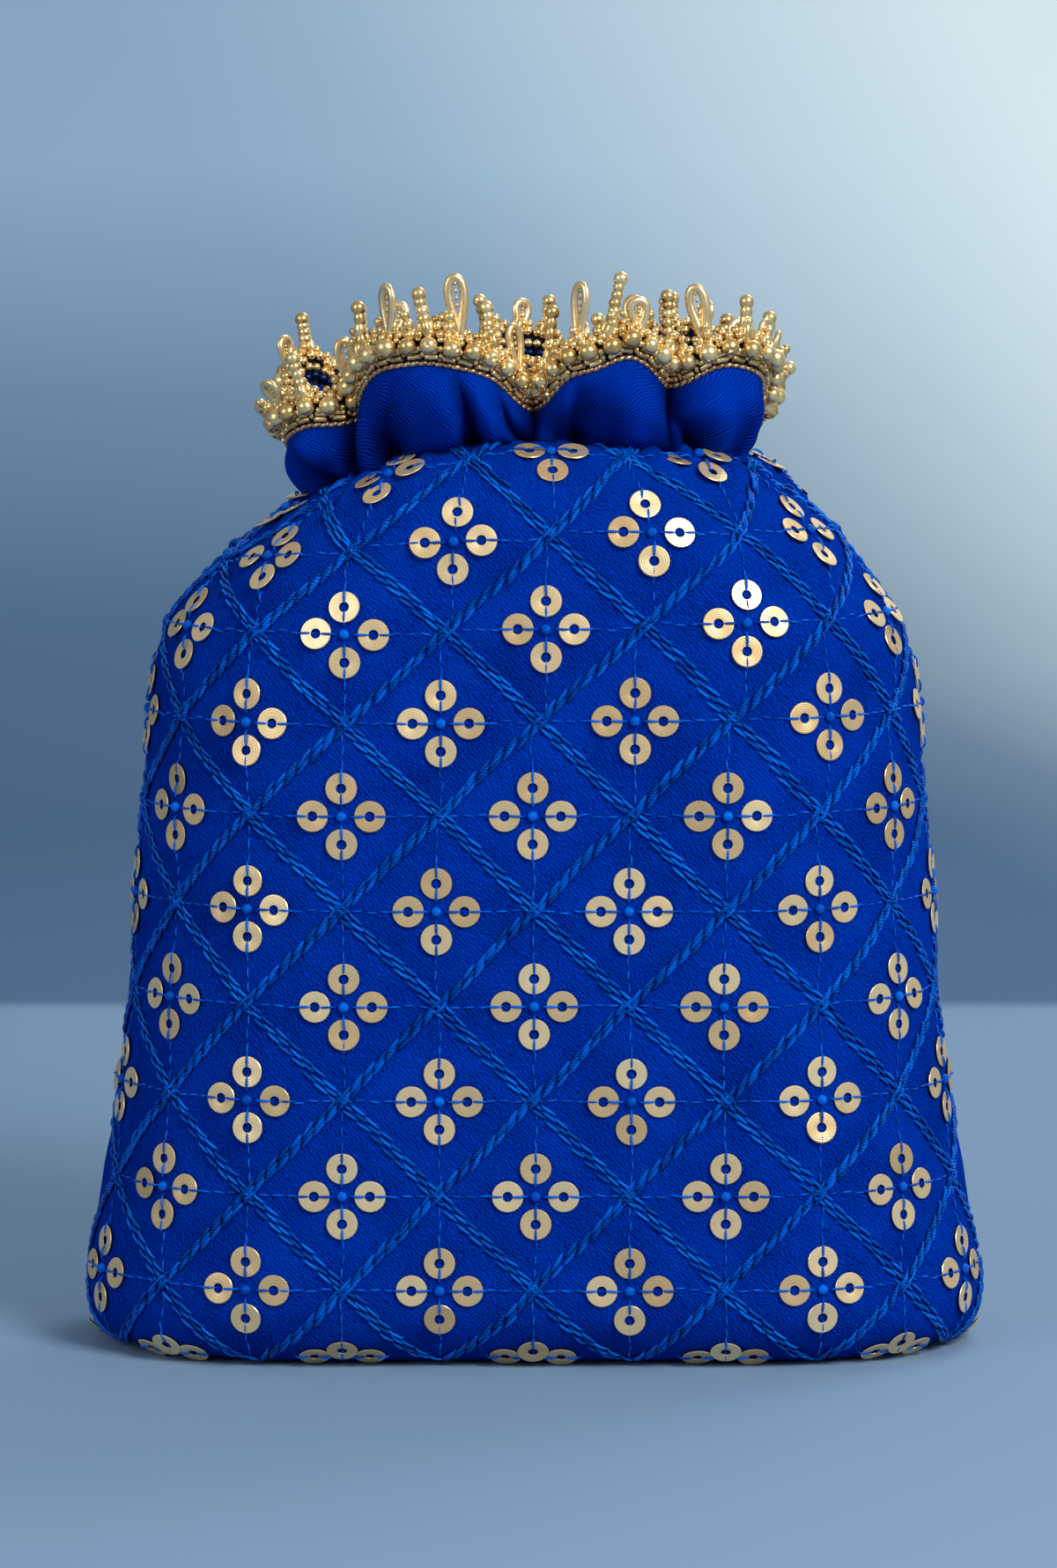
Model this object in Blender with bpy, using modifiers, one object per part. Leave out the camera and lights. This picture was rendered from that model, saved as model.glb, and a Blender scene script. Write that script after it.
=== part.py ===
"""Potli bag: an embroidered Indian pouch with a gathered neck, a cloth frill and a beaded rim.

The pouch is modelled standing on its flat base, origin under its middle, +Z up, front towards -Y.
All sizes are in metres.
"""
import math

import bpy
from mathutils import Vector
from mathutils.geometry import delaunay_2d_cdt

# Body: a standing pouch whose level sections are ovals with straight fronts and round sides
HALF_DEPTH = 0.048
BASE_EDGE_RADIUS = 0.016
BASE_EDGE_TURN = math.radians(80)
SHOULDER_START = 0.184
SHOULDER_RADIUS = 0.022
SHOULDER_TURN = math.radians(80)
SIDE_BEND_START = 0.160
NECK_SIDE_SAG = 0.006
# Half width of the body against height, up one side of the pouch
SIDE_OUTLINE = (
    (0.000, 0.1015),
    (0.014, 0.1012),
    (0.038, 0.0972),
    (0.068, 0.0932),
    (0.098, 0.0902),
    (0.128, 0.0880),
    (0.152, 0.0856),
    (0.164, 0.0825),
    (0.1775, 0.0747),
    (0.1925, 0.0640),
    (0.2025, 0.0550),
    (0.206, 0.0500),
)

# Cloth and padding
CLOTH = 0.0012
LINING = 0.0028
SEAM_GAP = 0.0003

# Embroidery: sequin flowers on a square grid, chain-stitch lines on the diagonals between them
FLOWER_PITCH = 0.0423
FIRST_ROW_HEIGHT = 0.0398
SEQUIN_DIAMETER = 0.0070
SEQUIN_RISE = 0.0007
SEQUIN_SIDES = 6
SEQUIN_OFFSET = 0.0062
STITCH_WIDTH = 0.0030
STITCH_RISE = 0.0009
BASE_FADE = 0.004

# Frill: the plain cloth collar above the gathers
FRILL_HEIGHT = 0.0198
FRILL_SIDE_DROP = 0.0120
FRILL_SIDE_NARROWNESS = 12
FRILL_VALLEY_DROP = 0.0070
FRILL_LOBE_FLARE = 0.0115
FRILL_VALLEY_FLARE = 0.0020
FRILL_BELLY = 0.0035
# Bearings at the front, and how far the slack rim hangs below its level there
RIM_SLACK = (
    (-95, 0.0),
    (-80, 0.0050),
    (-68, 0.0075),
    (-46, 0.0015),
    (-34, 0.0020),
    (-13, 0.0035),
    (0, 0.0045),
    (13, 0.0035),
    (30, -0.0010),
    (64, 0.0015),
    (85, 0.0),
)
FRILL_STEPS = 72
FRILL_LEVELS = 4
# Bearings of the folds between the frill's lobes: 0 at the front centre, 90 at the +X side seam
FOLD_BEARINGS = (-95, -55, 0, 40, 80, 120, 165, 205, 235)

# Beaded trim, row by row above the frill's rim
PIPING_DIAMETER = 0.0015
NET_HEIGHT = 0.0012
NET_THICKNESS = 0.0010
BUGLE_DIAMETER = 0.0018
ROUND_BEAD_DIAMETER = 0.0028
SEED_BEAD_DIAMETER = 0.0013
BEADS_AROUND = 72
BEAD_WAIST = 0.5
TRIM_LEAN = 0.2

# Upright bead strings and teardrop loops, one after the other round the rim
FINIAL_COUNT = 42
STRING_BALLS = 4
STRING_BALL_DIAMETER = 0.0024
STRING_TIP_DIAMETER = 0.0032
STRING_SIDES = 5
LOOP_HEIGHT = 0.0110
LOOP_WIDTH = 0.0042
LOOP_WIRE_DIAMETER = 0.0012
FINIAL_LEAN = 0.22
LEAN_CHANGE = 2.4
LOOP_TAPER = 0.25

# Facets of the plain shells: columns across one panel, rows round the base edge, wall, shoulder
PANEL_COLUMNS = 24
BASE_EDGE_ROWS = 3
WALL_ROWS = 8
SHOULDER_ROWS = 3
BASE_END_STEPS = 12
# Step along the cloth that its outward direction is worked out over
NORMAL_STEP = 0.0004

SHOULDER_END = SHOULDER_START + SHOULDER_RADIUS * SHOULDER_TURN
BASE_START = BASE_EDGE_RADIUS - BASE_EDGE_RADIUS * BASE_EDGE_TURN
NECK_HEIGHT = SHOULDER_START + SHOULDER_RADIUS * math.sin(SHOULDER_TURN)
FRILL_RIM_HEIGHT = NECK_HEIGHT + FRILL_HEIGHT


def clear_scene():
    for item in list(bpy.data.objects):
        bpy.data.objects.remove(item, do_unlink=True)


def make_collection(name):
    collection = bpy.data.collections.new(name)
    bpy.context.scene.collection.children.link(collection)
    return collection


def make_material(name, color, roughness, metallic=0.0):
    material = bpy.data.materials.new(name)
    material.use_nodes = True
    shader = material.node_tree.nodes["Principled BSDF"]
    shader.inputs["Base Color"].default_value = (*color, 1.0)
    shader.inputs["Roughness"].default_value = roughness
    shader.inputs["Metallic"].default_value = metallic
    return material


def make_object(name, points, faces, material, collection):
    mesh = bpy.data.meshes.new(name)
    mesh.from_pydata([tuple(point) for point in points], [], faces)
    mesh.update()
    mesh.shade_smooth()
    mesh.set_sharp_from_angle(angle=math.radians(40))
    mesh.materials.append(material)
    item = bpy.data.objects.new(name, mesh)
    collection.objects.link(item)
    return item


def outline_half_width(height):
    """Half width of the body at a height, on a smooth curve through SIDE_OUTLINE."""
    points = SIDE_OUTLINE
    height = min(max(height, points[0][0]), points[-1][0])
    index = 0
    while index < len(points) - 2 and height > points[index + 1][0]:
        index += 1
    z0, a0 = points[index]
    z1, a1 = points[index + 1]
    before = points[max(index - 1, 0)]
    after = points[min(index + 2, len(points) - 1)]
    slope0 = (a1 - before[1]) / (z1 - before[0])
    slope1 = (after[1] - a0) / (after[0] - z0)
    span = z1 - z0
    f = (height - z0) / span
    return (
        (2 * f**3 - 3 * f**2 + 1) * a0
        + (f**3 - 2 * f**2 + f) * span * slope0
        + (3 * f**2 - 2 * f**3) * a1
        + (f**3 - f**2) * span * slope1
    )


def level_section(t):
    """Level section at a distance t up the cloth: height, straight half width, side radius,
    the radius by which the cloth is measured there, and how far the gathers squeeze it."""
    if t < BASE_EDGE_RADIUS:
        turn = (BASE_EDGE_RADIUS - t) / BASE_EDGE_RADIUS
        height = BASE_EDGE_RADIUS * (1 - math.sin(turn))
        inset = BASE_EDGE_RADIUS * (1 - math.cos(turn))
        straight = outline_half_width(height) - HALF_DEPTH
        return height, straight, HALF_DEPTH - inset, HALF_DEPTH, 1.0
    if t < SHOULDER_START:
        return t, outline_half_width(t) - HALF_DEPTH, HALF_DEPTH, HALF_DEPTH, 1.0
    turn = (t - SHOULDER_START) / SHOULDER_RADIUS
    height = SHOULDER_START + SHOULDER_RADIUS * math.sin(turn)
    depth = HALF_DEPTH - SHOULDER_RADIUS * (1 - math.cos(turn))
    straight = outline_half_width(height) - depth
    full = outline_half_width(SHOULDER_START) - HALF_DEPTH + HALF_DEPTH * math.pi / 2
    squeeze = (straight + depth * math.pi / 2) / full
    return height, straight, depth, depth, squeeze


def seam_distance(t):
    """Distance along the cloth from the front centre to the side seam."""
    height, straight, radius, measure, squeeze = level_section(t)
    return (straight + measure * math.pi / 2) / squeeze


def body_point(s, t, side=1):
    """Point of the body's outer face, s along the cloth from the centre and t up it."""
    height, straight, radius, measure, squeeze = level_section(t)
    along = abs(s) * squeeze
    if along <= straight:
        x = along
        y = radius
    else:
        turn = (along - straight) / measure
        x = straight + radius * math.sin(turn)
        y = radius * math.cos(turn)
    rise = max(0.0, (t - SIDE_BEND_START) / (SHOULDER_END - SIDE_BEND_START))
    sag = NECK_SIDE_SAG * rise**2 * (3 - 2 * rise) * (x / (straight + radius)) ** 2
    x = math.copysign(x, s)
    return Vector((x * side, -y * side, height - sag))


def body_normal(s, t, side=1):
    """Outward direction, square to the body's outer face."""
    step = NORMAL_STEP
    t = min(max(t, BASE_START + step), SHOULDER_END - step)
    along = body_point(s + step, t, side) - body_point(s - step, t, side)
    up = body_point(s, t + step, side) - body_point(s, t - step, side)
    return along.cross(up).normalized()


def offset_point(s, t, side, rise):
    return body_point(s, t, side) + body_normal(s, t, side) * rise


def flower_centres():
    """Flowers of the grid and of the grid between it, as distances along and up the cloth."""
    centres = []
    for row in range(-4, 14):
        t = FIRST_ROW_HEIGHT + row * FLOWER_PITCH / 2
        for column in range(-5, 6):
            s = (column + (row % 2) / 2) * FLOWER_PITCH
            centres.append((s, t))
    return centres


def sequin_centres():
    """Four sequins round each flower's middle, kept where the whole sequin is on the panel."""
    margin = SEQUIN_DIAMETER / 2 + SEAM_GAP
    centres = []
    for s, t in flower_centres():
        for ds, dt in ((1, 0), (0, 1), (-1, 0), (0, -1)):
            cs = s + ds * SEQUIN_OFFSET
            ct = t + dt * SEQUIN_OFFSET
            inside = BASE_START + margin < ct < SHOULDER_END - margin
            if inside and abs(cs) < seam_distance(ct) - margin:
                centres.append((cs, ct))
    return centres


def cloth_levels():
    """Distances up the cloth at which the plain shells have a row of corners."""
    stretches = (
        (BASE_START, BASE_EDGE_RADIUS, BASE_EDGE_ROWS),
        (BASE_EDGE_RADIUS, SHOULDER_START, WALL_ROWS),
        (SHOULDER_START, SHOULDER_END, SHOULDER_ROWS),
    )
    levels = [BASE_START]
    for start, end, rows in stretches:
        levels += [start + (end - start) * (i + 1) / rows for i in range(rows)]
    return levels


def column_distance(column, t):
    """Distance along the cloth of a column of corners, from side seam to side seam."""
    half = seam_distance(t) - SEAM_GAP / 2
    return half * (2 * column / PANEL_COLUMNS - 1)


def panel_border():
    """Border of one panel, flat: up the right seam, along the neck, down and along the base."""
    levels = cloth_levels()
    right = [(column_distance(PANEL_COLUMNS, t), t) for t in levels]
    left = [(-s, t) for s, t in reversed(right)]
    inner = range(1, PANEL_COLUMNS)
    top = [(column_distance(column, levels[-1]), levels[-1]) for column in reversed(inner)]
    bottom = [(column_distance(column, levels[0]), levels[0]) for column in inner]
    return right + top + left + bottom


def lattice_offset(s, t):
    """Distance of a flat point from the nearest chain-stitch line."""
    half = FLOWER_PITCH / 2
    rising = (s - (t - FIRST_ROW_HEIGHT)) / FLOWER_PITCH
    falling = (s + (t - FIRST_ROW_HEIGHT)) / FLOWER_PITCH
    nearest = min(abs(value - math.floor(value) - 0.5) for value in (rising, falling))
    return nearest * half * math.sqrt(2)


def panel_rise(s, t, sequins):
    """Height of the embroidery above the cloth at a flat point; it dies out at the base seam."""
    half = STITCH_WIDTH / 2
    rise = STITCH_RISE * max(0.0, 1 - lattice_offset(s, t) / half)
    rim = SEQUIN_DIAMETER / 2 * math.cos(math.pi / SEQUIN_SIDES)
    for cs, ct in sequins:
        rise = max(rise, SEQUIN_RISE * (1 - math.hypot(s - cs, t - ct) / rim))
    return rise * min(1.0, (t - BASE_START) / BASE_FADE)


def panel_layout(sequins):
    """Flat points and lines of the embroidery: sequin outlines, and each line's ridge and foot."""
    border = panel_border()
    points = [Vector(point) for point in border]
    edges = [(i, (i + 1) % len(border)) for i in range(len(border))]
    for cs, ct in sequins:
        first = len(points)
        for k in range(SEQUIN_SIDES):
            turn = 2 * math.pi * k / SEQUIN_SIDES
            radius = SEQUIN_DIAMETER / 2
            points.append(Vector((cs + radius * math.cos(turn), ct + radius * math.sin(turn))))
        edges += [(first + k, first + (k + 1) % SEQUIN_SIDES) for k in range(SEQUIN_SIDES)]
        points.append(Vector((cs, ct)))
    for t in cloth_levels()[1:-1]:
        if BASE_EDGE_RADIUS + SEAM_GAP < t < SIDE_BEND_START:
            continue
        edges.append((len(points), len(points) + 1))
        points.append(Vector((-seam_distance(t), t)))
        points.append(Vector((seam_distance(t), t)))
    reach = SHOULDER_END - BASE_START
    for slope in (1, -1):
        for index in range(-7, 8):
            foot = (index + 0.5) * FLOWER_PITCH
            for shift in (-STITCH_WIDTH / 2, 0.0, STITCH_WIDTH / 2):
                start_t = BASE_START
                start_s = foot + shift * math.sqrt(2) + slope * (start_t - FIRST_ROW_HEIGHT)
                first = len(points)
                points.append(Vector((start_s, start_t)))
                points.append(Vector((start_s + slope * reach, start_t + reach)))
                edges.append((first, first + 1))
    return points, edges, len(border)


def inside_outline(point, outline):
    """Whether a flat point lies inside a closed outline, by counting the sides it crosses."""
    inside = False
    for (x0, y0), (x1, y1) in zip(outline, outline[1:] + outline[:1]):
        if (y0 > point[1]) != (y1 > point[1]):
            if point[0] < x0 + (x1 - x0) * (point[1] - y0) / (y1 - y0):
                inside = not inside
    return inside


def flat_triangles(points, edges, border_size):
    """Triangles through the given points and lines, kept where they lie inside the border."""
    result = delaunay_2d_cdt(points, edges, [], 0, 1e-7)
    outline = [(point.x, point.y) for point in points[:border_size]]
    kept = []
    for face in result[2]:
        middle = sum((result[0][i] for i in face), Vector((0.0, 0.0))) / 3
        if inside_outline(middle, outline):
            kept.append(face)
    used = sorted({i for face in kept for i in face})
    number = {old: new for new, old in enumerate(used)}
    return [result[0][i] for i in used], [tuple(number[i] for i in face) for face in kept]


def border_loop(triangles):
    """Open edge of a sheet of triangles, as a ring of point numbers in its own turning sense."""
    count = {}
    for triangle in triangles:
        for k in range(len(triangle)):
            edge = (triangle[k], triangle[(k + 1) % len(triangle)])
            count[edge] = True
    following = {a: b for a, b in count if (b, a) not in count}
    start = min(following)
    loop = [start]
    while following[loop[-1]] != start and len(loop) < len(following):
        loop.append(following[loop[-1]])
    return loop


def panel_wall(outer_loop, flat, base):
    """Faces that close a panel's edge, from its outer border to the corners of its inner grid."""
    levels = cloth_levels()
    width = PANEL_COLUMNS + 1
    corner = {}
    for row, t in enumerate(levels):
        for column in range(width):
            if row in (0, len(levels) - 1) or column in (0, PANEL_COLUMNS):
                corner[base + row * width + column] = Vector((column_distance(column, t), t))
    matched = {}
    for number, place in corner.items():
        nearest = min(range(len(outer_loop)), key=lambda k: (flat[outer_loop[k]] - place).length)
        matched[nearest] = number
    stops = sorted(matched)
    faces = []
    for stop, following in zip(stops, stops[1:] + [stops[0] + len(outer_loop)]):
        stretch = [outer_loop[k % len(outer_loop)] for k in range(stop, following + 1)]
        inner = (matched[following % len(outer_loop)], matched[stop])
        faces.append(tuple(reversed(stretch)) + tuple(reversed(inner)))
    return faces


def make_panel(name, side, material, collection):
    """One embroidered panel: a closed shell, the stitches and sequins raised on its outer face."""
    sequins = sequin_centres()
    flat, faces = flat_triangles(*panel_layout(sequins))
    loop = border_loop(faces)
    points = [offset_point(p.x, p.y, side, panel_rise(p.x, p.y, sequins)) for p in flat]
    base = len(points)
    width = PANEL_COLUMNS + 1
    levels = cloth_levels()
    for t in levels:
        points += [
            offset_point(column_distance(column, t), t, side, -CLOTH) for column in range(width)
        ]
    for row in range(len(levels) - 1):
        for column in range(PANEL_COLUMNS):
            low = base + row * width + column
            faces.append((low, low + width, low + width + 1, low + 1))
    faces += panel_wall(loop, flat, base)
    return make_object(name, points, faces, material, collection)


def make_base_panel(material, collection):
    """Flat cloth under the pouch, inside the panels' turned edge."""
    inset = BASE_EDGE_RADIUS * (1 - math.cos(BASE_EDGE_TURN)) + 2 * SEAM_GAP
    radius = HALF_DEPTH - inset
    straight = outline_half_width(0.0) - HALF_DEPTH
    curve = bpy.data.curves.new("base_panel", "CURVE")
    curve.dimensions = "2D"
    curve.fill_mode = "BOTH"
    curve.extrude = CLOTH / 2
    steps = BASE_END_STEPS
    outline = []
    for end in (1, -1):
        for k in range(steps + 1):
            turn = -math.pi / 2 + math.pi * k / steps
            outline.append((end * (straight + radius * math.cos(turn)), end * radius * math.sin(turn)))
    spline = curve.splines.new("POLY")
    spline.points.add(len(outline) - 1)
    for point, (x, y) in zip(spline.points, outline):
        point.co = (x, y, 0.0, 1.0)
    spline.use_cyclic_u = True
    curve.materials.append(material)
    item = bpy.data.objects.new("base_panel", curve)
    item.location = (0.0, 0.0, CLOTH / 2)
    collection.objects.link(item)
    return item


def ring_faces(rings, steps, closed_section=True):
    """Quads between rings of points; the last ring joins the first when the section is closed."""
    faces = []
    pairs = rings if closed_section else rings - 1
    for ring in range(pairs):
        low = ring * steps
        high = ((ring + 1) % rings) * steps
        for k in range(steps):
            after = (k + 1) % steps
            faces.append((low + k, low + after, high + after, high + k))
    return faces


def make_lining(material, collection):
    """Padded lining: one open pouch inside the panels, with a floor above the base cloth."""
    outer_rise = -(CLOTH + SEAM_GAP)
    inner_rise = outer_rise - LINING
    levels = cloth_levels()
    steps = 2 * PANEL_COLUMNS
    points = []
    for rise, order in ((outer_rise, levels), (inner_rise, levels[::-1])):
        for t in order:
            for side in (1, -1):
                points += [
                    offset_point(column_distance(column, t), t, side, rise)
                    for column in range(PANEL_COLUMNS)
                ]
    rings = 2 * len(levels)
    faces = ring_faces(rings, steps, closed_section=False)
    faces.append(tuple(reversed(range(steps))))
    faces.append(tuple((rings - 1) * steps + k for k in range(steps)))
    return make_object("padded_lining", points, faces, material, collection)


def lobe_swell(bearing):
    """How far a bearing lies into a lobe of the frill: 0 in a fold, 1 at the lobe's crest."""
    folds = FOLD_BEARINGS
    bearing = (bearing - folds[0]) % 360 + folds[0]
    for index, fold in enumerate(folds):
        after = folds[index + 1] if index + 1 < len(folds) else folds[0] + 360
        if fold <= bearing <= after:
            return math.sin(math.pi * (bearing - fold) / (after - fold))
    return 0.0


def rim_slack(bearing):
    """How far the rim hangs below its level, easing from one bearing of the list to the next."""
    bearing = (bearing + 180) % 360 - 180
    for (start, low), (end, high) in zip(RIM_SLACK, RIM_SLACK[1:]):
        if start <= bearing <= end:
            share = (bearing - start) / (end - start)
            return low + (high - low) * share * share * (3 - 2 * share)
    return 0.0


def neck_foot(bearing):
    """Foot of the frill on the gathered neck at a bearing, and the level direction outwards."""
    bearing = (bearing + 90) % 360 - 90
    side = 1 if bearing < 90 else -1
    s = seam_distance(SHOULDER_END) * (bearing - 90 + 90 * side) / 90
    outward = body_normal(s, SHOULDER_END, side)
    outward.z = 0.0
    outward.normalize()
    return body_point(s, SHOULDER_END, side) - outward * (CLOTH / 2 + SEAM_GAP), outward


def frill_point(bearing, v, rise=0.0):
    """Point of the frill: v 0 at the neck seam, 1 at the rim, which flares in lobes."""
    swell = lobe_swell(bearing)
    foot, outward = neck_foot(bearing)
    sag = math.sin(math.radians(bearing)) ** FRILL_SIDE_NARROWNESS
    low = foot.z + 2 * SEAM_GAP
    high = FRILL_RIM_HEIGHT - FRILL_SIDE_DROP * sag - FRILL_VALLEY_DROP * (1 - swell)
    high -= rim_slack(bearing)
    flare = FRILL_VALLEY_FLARE + (FRILL_LOBE_FLARE - FRILL_VALLEY_FLARE) * swell
    belly = FRILL_BELLY * swell * math.sin(math.pi * v)
    out = foot + outward * (flare * v + belly + rise)
    return Vector((out.x, out.y, low + (high - low) * v))


def make_frill(material, collection):
    """Frill of plain cloth, flaring from the neck in lobes, open in the middle."""
    points = []
    levels = [i / (FRILL_LEVELS - 1) for i in range(FRILL_LEVELS)]
    for rise, order in ((CLOTH / 2, levels), (-CLOTH / 2, levels[::-1])):
        for v in order:
            points += [
                frill_point(360 * k / FRILL_STEPS, v, rise) for k in range(FRILL_STEPS)
            ]
    faces = ring_faces(2 * FRILL_LEVELS, FRILL_STEPS)
    return make_object("frill", points, faces, material, collection)


def trim_heights():
    """Height of each trim row's middle above the frill's rim."""
    rows = {}
    level = SEAM_GAP
    for name, height in (
        ("rim_piping", PIPING_DIAMETER),
        ("rim_net", NET_HEIGHT),
        ("bugle_bead_row", BUGLE_DIAMETER),
        ("round_bead_row", ROUND_BEAD_DIAMETER),
        ("seed_bead_row", SEED_BEAD_DIAMETER),
    ):
        rows[name] = level + height / 2
        level += height + SEAM_GAP
    rows["top"] = level
    return rows


def rim_point(bearing, rise, out=0.0):
    """Point above the frill's rim; the trim leans outwards as it rises."""
    return frill_point(bearing, 1.0, out + TRIM_LEAN * rise) + Vector((0.0, 0.0, rise))


def make_trim_row(name, half_out, half_up, beads, material, collection):
    """A row of trim as one closed ring; beads give it a waist between one bead and the next."""
    rise = trim_heights()[name]
    steps = 2 * BEADS_AROUND if beads else FRILL_STEPS
    points = []
    for out, up in ((1, 0), (0, 1), (-1, 0), (0, -1)):
        for k in range(steps):
            size = BEAD_WAIST if beads and k % 2 else 1.0
            bearing = 360 * k / steps
            points.append(rim_point(bearing, rise + up * half_up * size, out * half_out * size))
    return make_object(name, points, ring_faces(4, steps), material, collection)


def screw_object(name, profile, material, collection, lean):
    """A turned piece: a profile of radius and height, spun about the upright axis, then leaned."""
    curve_points = [(radius, 0.0, height) for radius, height in reversed(profile)]
    mesh = bpy.data.meshes.new(name)
    mesh.from_pydata(curve_points, [(i, i + 1) for i in range(len(curve_points) - 1)], [])
    mesh.materials.append(material)
    item = bpy.data.objects.new(name, mesh)
    collection.objects.link(item)
    screw = item.modifiers.new("turn", "SCREW")
    screw.steps = STRING_SIDES
    screw.render_steps = STRING_SIDES
    screw.use_merge_vertices = True
    screw.merge_threshold = 0.00005
    screw.use_smooth_shade = True
    item.location, item.rotation_euler = lean
    return item


def make_bead_string(name, lean, material, collection):
    """A string of balls standing on the trim, the largest at its tip."""
    profile = [(0.0, 0.0)]
    height = 0.0
    neck = STRING_BALL_DIAMETER * 0.22
    for index in range(STRING_BALLS):
        diameter = STRING_TIP_DIAMETER if index == STRING_BALLS - 1 else STRING_BALL_DIAMETER
        if index:
            profile.append((neck, height))
        profile.append((diameter * 0.5, height + diameter * 0.5))
        height += diameter
    profile.append((0.0, height))
    return screw_object(name, profile, material, collection, lean)


def make_teardrop_loop(name, lean, material, collection):
    """A long bead loop: a thin ring stretched upright, narrow at its foot."""
    bpy.ops.mesh.primitive_torus_add(
        major_segments=8,
        minor_segments=3,
        major_radius=2 * LOOP_WIRE_DIAMETER,
        minor_radius=LOOP_WIRE_DIAMETER / 2,
        rotation=(math.pi / 2, 0.0, 0.0),
    )
    item = bpy.context.active_object
    bpy.ops.object.transform_apply(rotation=True)
    item.name = name
    item.data.name = name
    wire = LOOP_WIRE_DIAMETER / 2
    half_width = LOOP_WIDTH / 2 - wire
    half_height = LOOP_HEIGHT / 2 - wire
    for vertex in item.data.vertices:
        turn = math.atan2(vertex.co.x, vertex.co.z)
        out = math.hypot(vertex.co.x, vertex.co.z) - 2 * LOOP_WIRE_DIAMETER
        taper = 1 - LOOP_TAPER + LOOP_TAPER * math.cos(turn)
        x = (half_width * taper + out) * math.sin(turn)
        z = (half_height + out) * math.cos(turn) + LOOP_HEIGHT / 2
        vertex.co = (x, vertex.co.y, z)
    item.data.shade_smooth()
    item.data.materials.append(material)
    for owner in list(item.users_collection):
        owner.objects.unlink(item)
    collection.objects.link(item)
    item.location, item.rotation_euler = lean
    return item


def make_finials(material, collection):
    """Bead strings and teardrop loops in turn round the top of the trim."""
    top = trim_heights()["top"]
    for index in range(FINIAL_COUNT):
        bearing = 360 * (index + 0.5) / FINIAL_COUNT
        turn = math.radians(bearing)
        swell = lobe_swell(bearing)
        tilt = FINIAL_LEAN * swell * math.sin(LEAN_CHANGE * index)
        fold_lift = STRING_BALL_DIAMETER * (1 - swell) / 5
        place = rim_point(bearing, top + fold_lift)
        lean = (place, (0.0, tilt, turn))
        if index % 2:
            make_teardrop_loop(f"teardrop_loop_{index // 2 + 1:02d}", lean, material, collection)
        else:
            make_bead_string(f"bead_string_{index // 2 + 1:02d}", lean, material, collection)


def build():
    clear_scene()
    bag = make_collection("potli_bag")
    blue = make_material("royal_blue_cloth", (0.005, 0.03, 0.40), 0.75)
    plain = make_material("plain_blue_cloth", (0.004, 0.025, 0.34), 0.8)
    inside = make_material("lining_cloth", (0.02, 0.06, 0.35), 0.8)
    gold = make_material("antique_gold", (0.55, 0.36, 0.13), 0.3, 1.0)
    bronze = make_material("bronze_piping", (0.42, 0.22, 0.10), 0.35, 1.0)
    net = make_material("dark_net", (0.03, 0.03, 0.04), 0.7)
    make_panel("front_panel", 1, blue, bag)
    make_panel("back_panel", -1, blue, bag)
    make_base_panel(plain, bag)
    make_lining(inside, bag)
    make_frill(plain, bag)
    make_trim_row("rim_piping", PIPING_DIAMETER / 2, PIPING_DIAMETER / 2, False, bronze, bag)
    make_trim_row("rim_net", NET_THICKNESS / 2, NET_HEIGHT / 2, False, net, bag)
    make_trim_row("bugle_bead_row", BUGLE_DIAMETER / 2, BUGLE_DIAMETER / 2, True, gold, bag)
    make_trim_row(
        "round_bead_row", ROUND_BEAD_DIAMETER / 2, ROUND_BEAD_DIAMETER / 2, True, gold, bag
    )
    make_trim_row("seed_bead_row", SEED_BEAD_DIAMETER / 2, SEED_BEAD_DIAMETER / 2, False, gold, bag)
    make_finials(gold, bag)


build()
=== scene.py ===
"""Potli bag: embroidered cloth, gathered frill and beaded rim, as they look in a plain studio.

Lengths are in metres. The bag stands on z = 0 with its front towards -Y.
The cloth of a panel is laid flat in s, the distance from its middle, and t, the distance up it.
"""
import math

import bpy
import numpy as np
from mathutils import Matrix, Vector


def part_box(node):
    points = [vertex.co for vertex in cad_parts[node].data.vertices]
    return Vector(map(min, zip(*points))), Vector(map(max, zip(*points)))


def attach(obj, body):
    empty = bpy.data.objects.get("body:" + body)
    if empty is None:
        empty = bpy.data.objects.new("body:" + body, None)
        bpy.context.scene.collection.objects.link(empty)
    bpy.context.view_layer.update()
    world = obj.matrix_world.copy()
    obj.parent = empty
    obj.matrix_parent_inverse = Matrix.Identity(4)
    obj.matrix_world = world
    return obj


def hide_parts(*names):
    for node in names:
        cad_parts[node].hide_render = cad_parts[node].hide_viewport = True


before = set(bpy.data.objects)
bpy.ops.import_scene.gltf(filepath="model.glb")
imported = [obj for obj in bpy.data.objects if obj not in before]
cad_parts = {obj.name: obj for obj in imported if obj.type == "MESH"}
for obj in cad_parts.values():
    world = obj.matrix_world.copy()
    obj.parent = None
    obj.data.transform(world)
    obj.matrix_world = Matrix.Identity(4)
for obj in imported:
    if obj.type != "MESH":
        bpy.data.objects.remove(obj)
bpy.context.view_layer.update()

# The body's sizes, as in the part
HALF_DEPTH = 0.048
BASE_EDGE_RADIUS = 0.016
BASE_EDGE_TURN = math.radians(80)
SHOULDER_START = 0.184
SHOULDER_RADIUS = 0.022
SHOULDER_TURN = math.radians(80)
SIDE_BEND_START = 0.160
SIDE_OUTLINE = np.array((
    (0.000, 0.1015),
    (0.014, 0.1012),
    (0.038, 0.0972),
    (0.068, 0.0932),
    (0.098, 0.0902),
    (0.128, 0.0880),
    (0.152, 0.0856),
    (0.164, 0.0825),
    (0.1775, 0.0747),
    (0.1925, 0.0640),
    (0.2025, 0.0550),
    (0.206, 0.0500),
))
SHOULDER_END = SHOULDER_START + SHOULDER_RADIUS * SHOULDER_TURN
BASE_START = BASE_EDGE_RADIUS * (1 - BASE_EDGE_TURN)
CLOTH = 0.0012
LINING = 0.0028
SEAM_GAP = 0.0003

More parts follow.
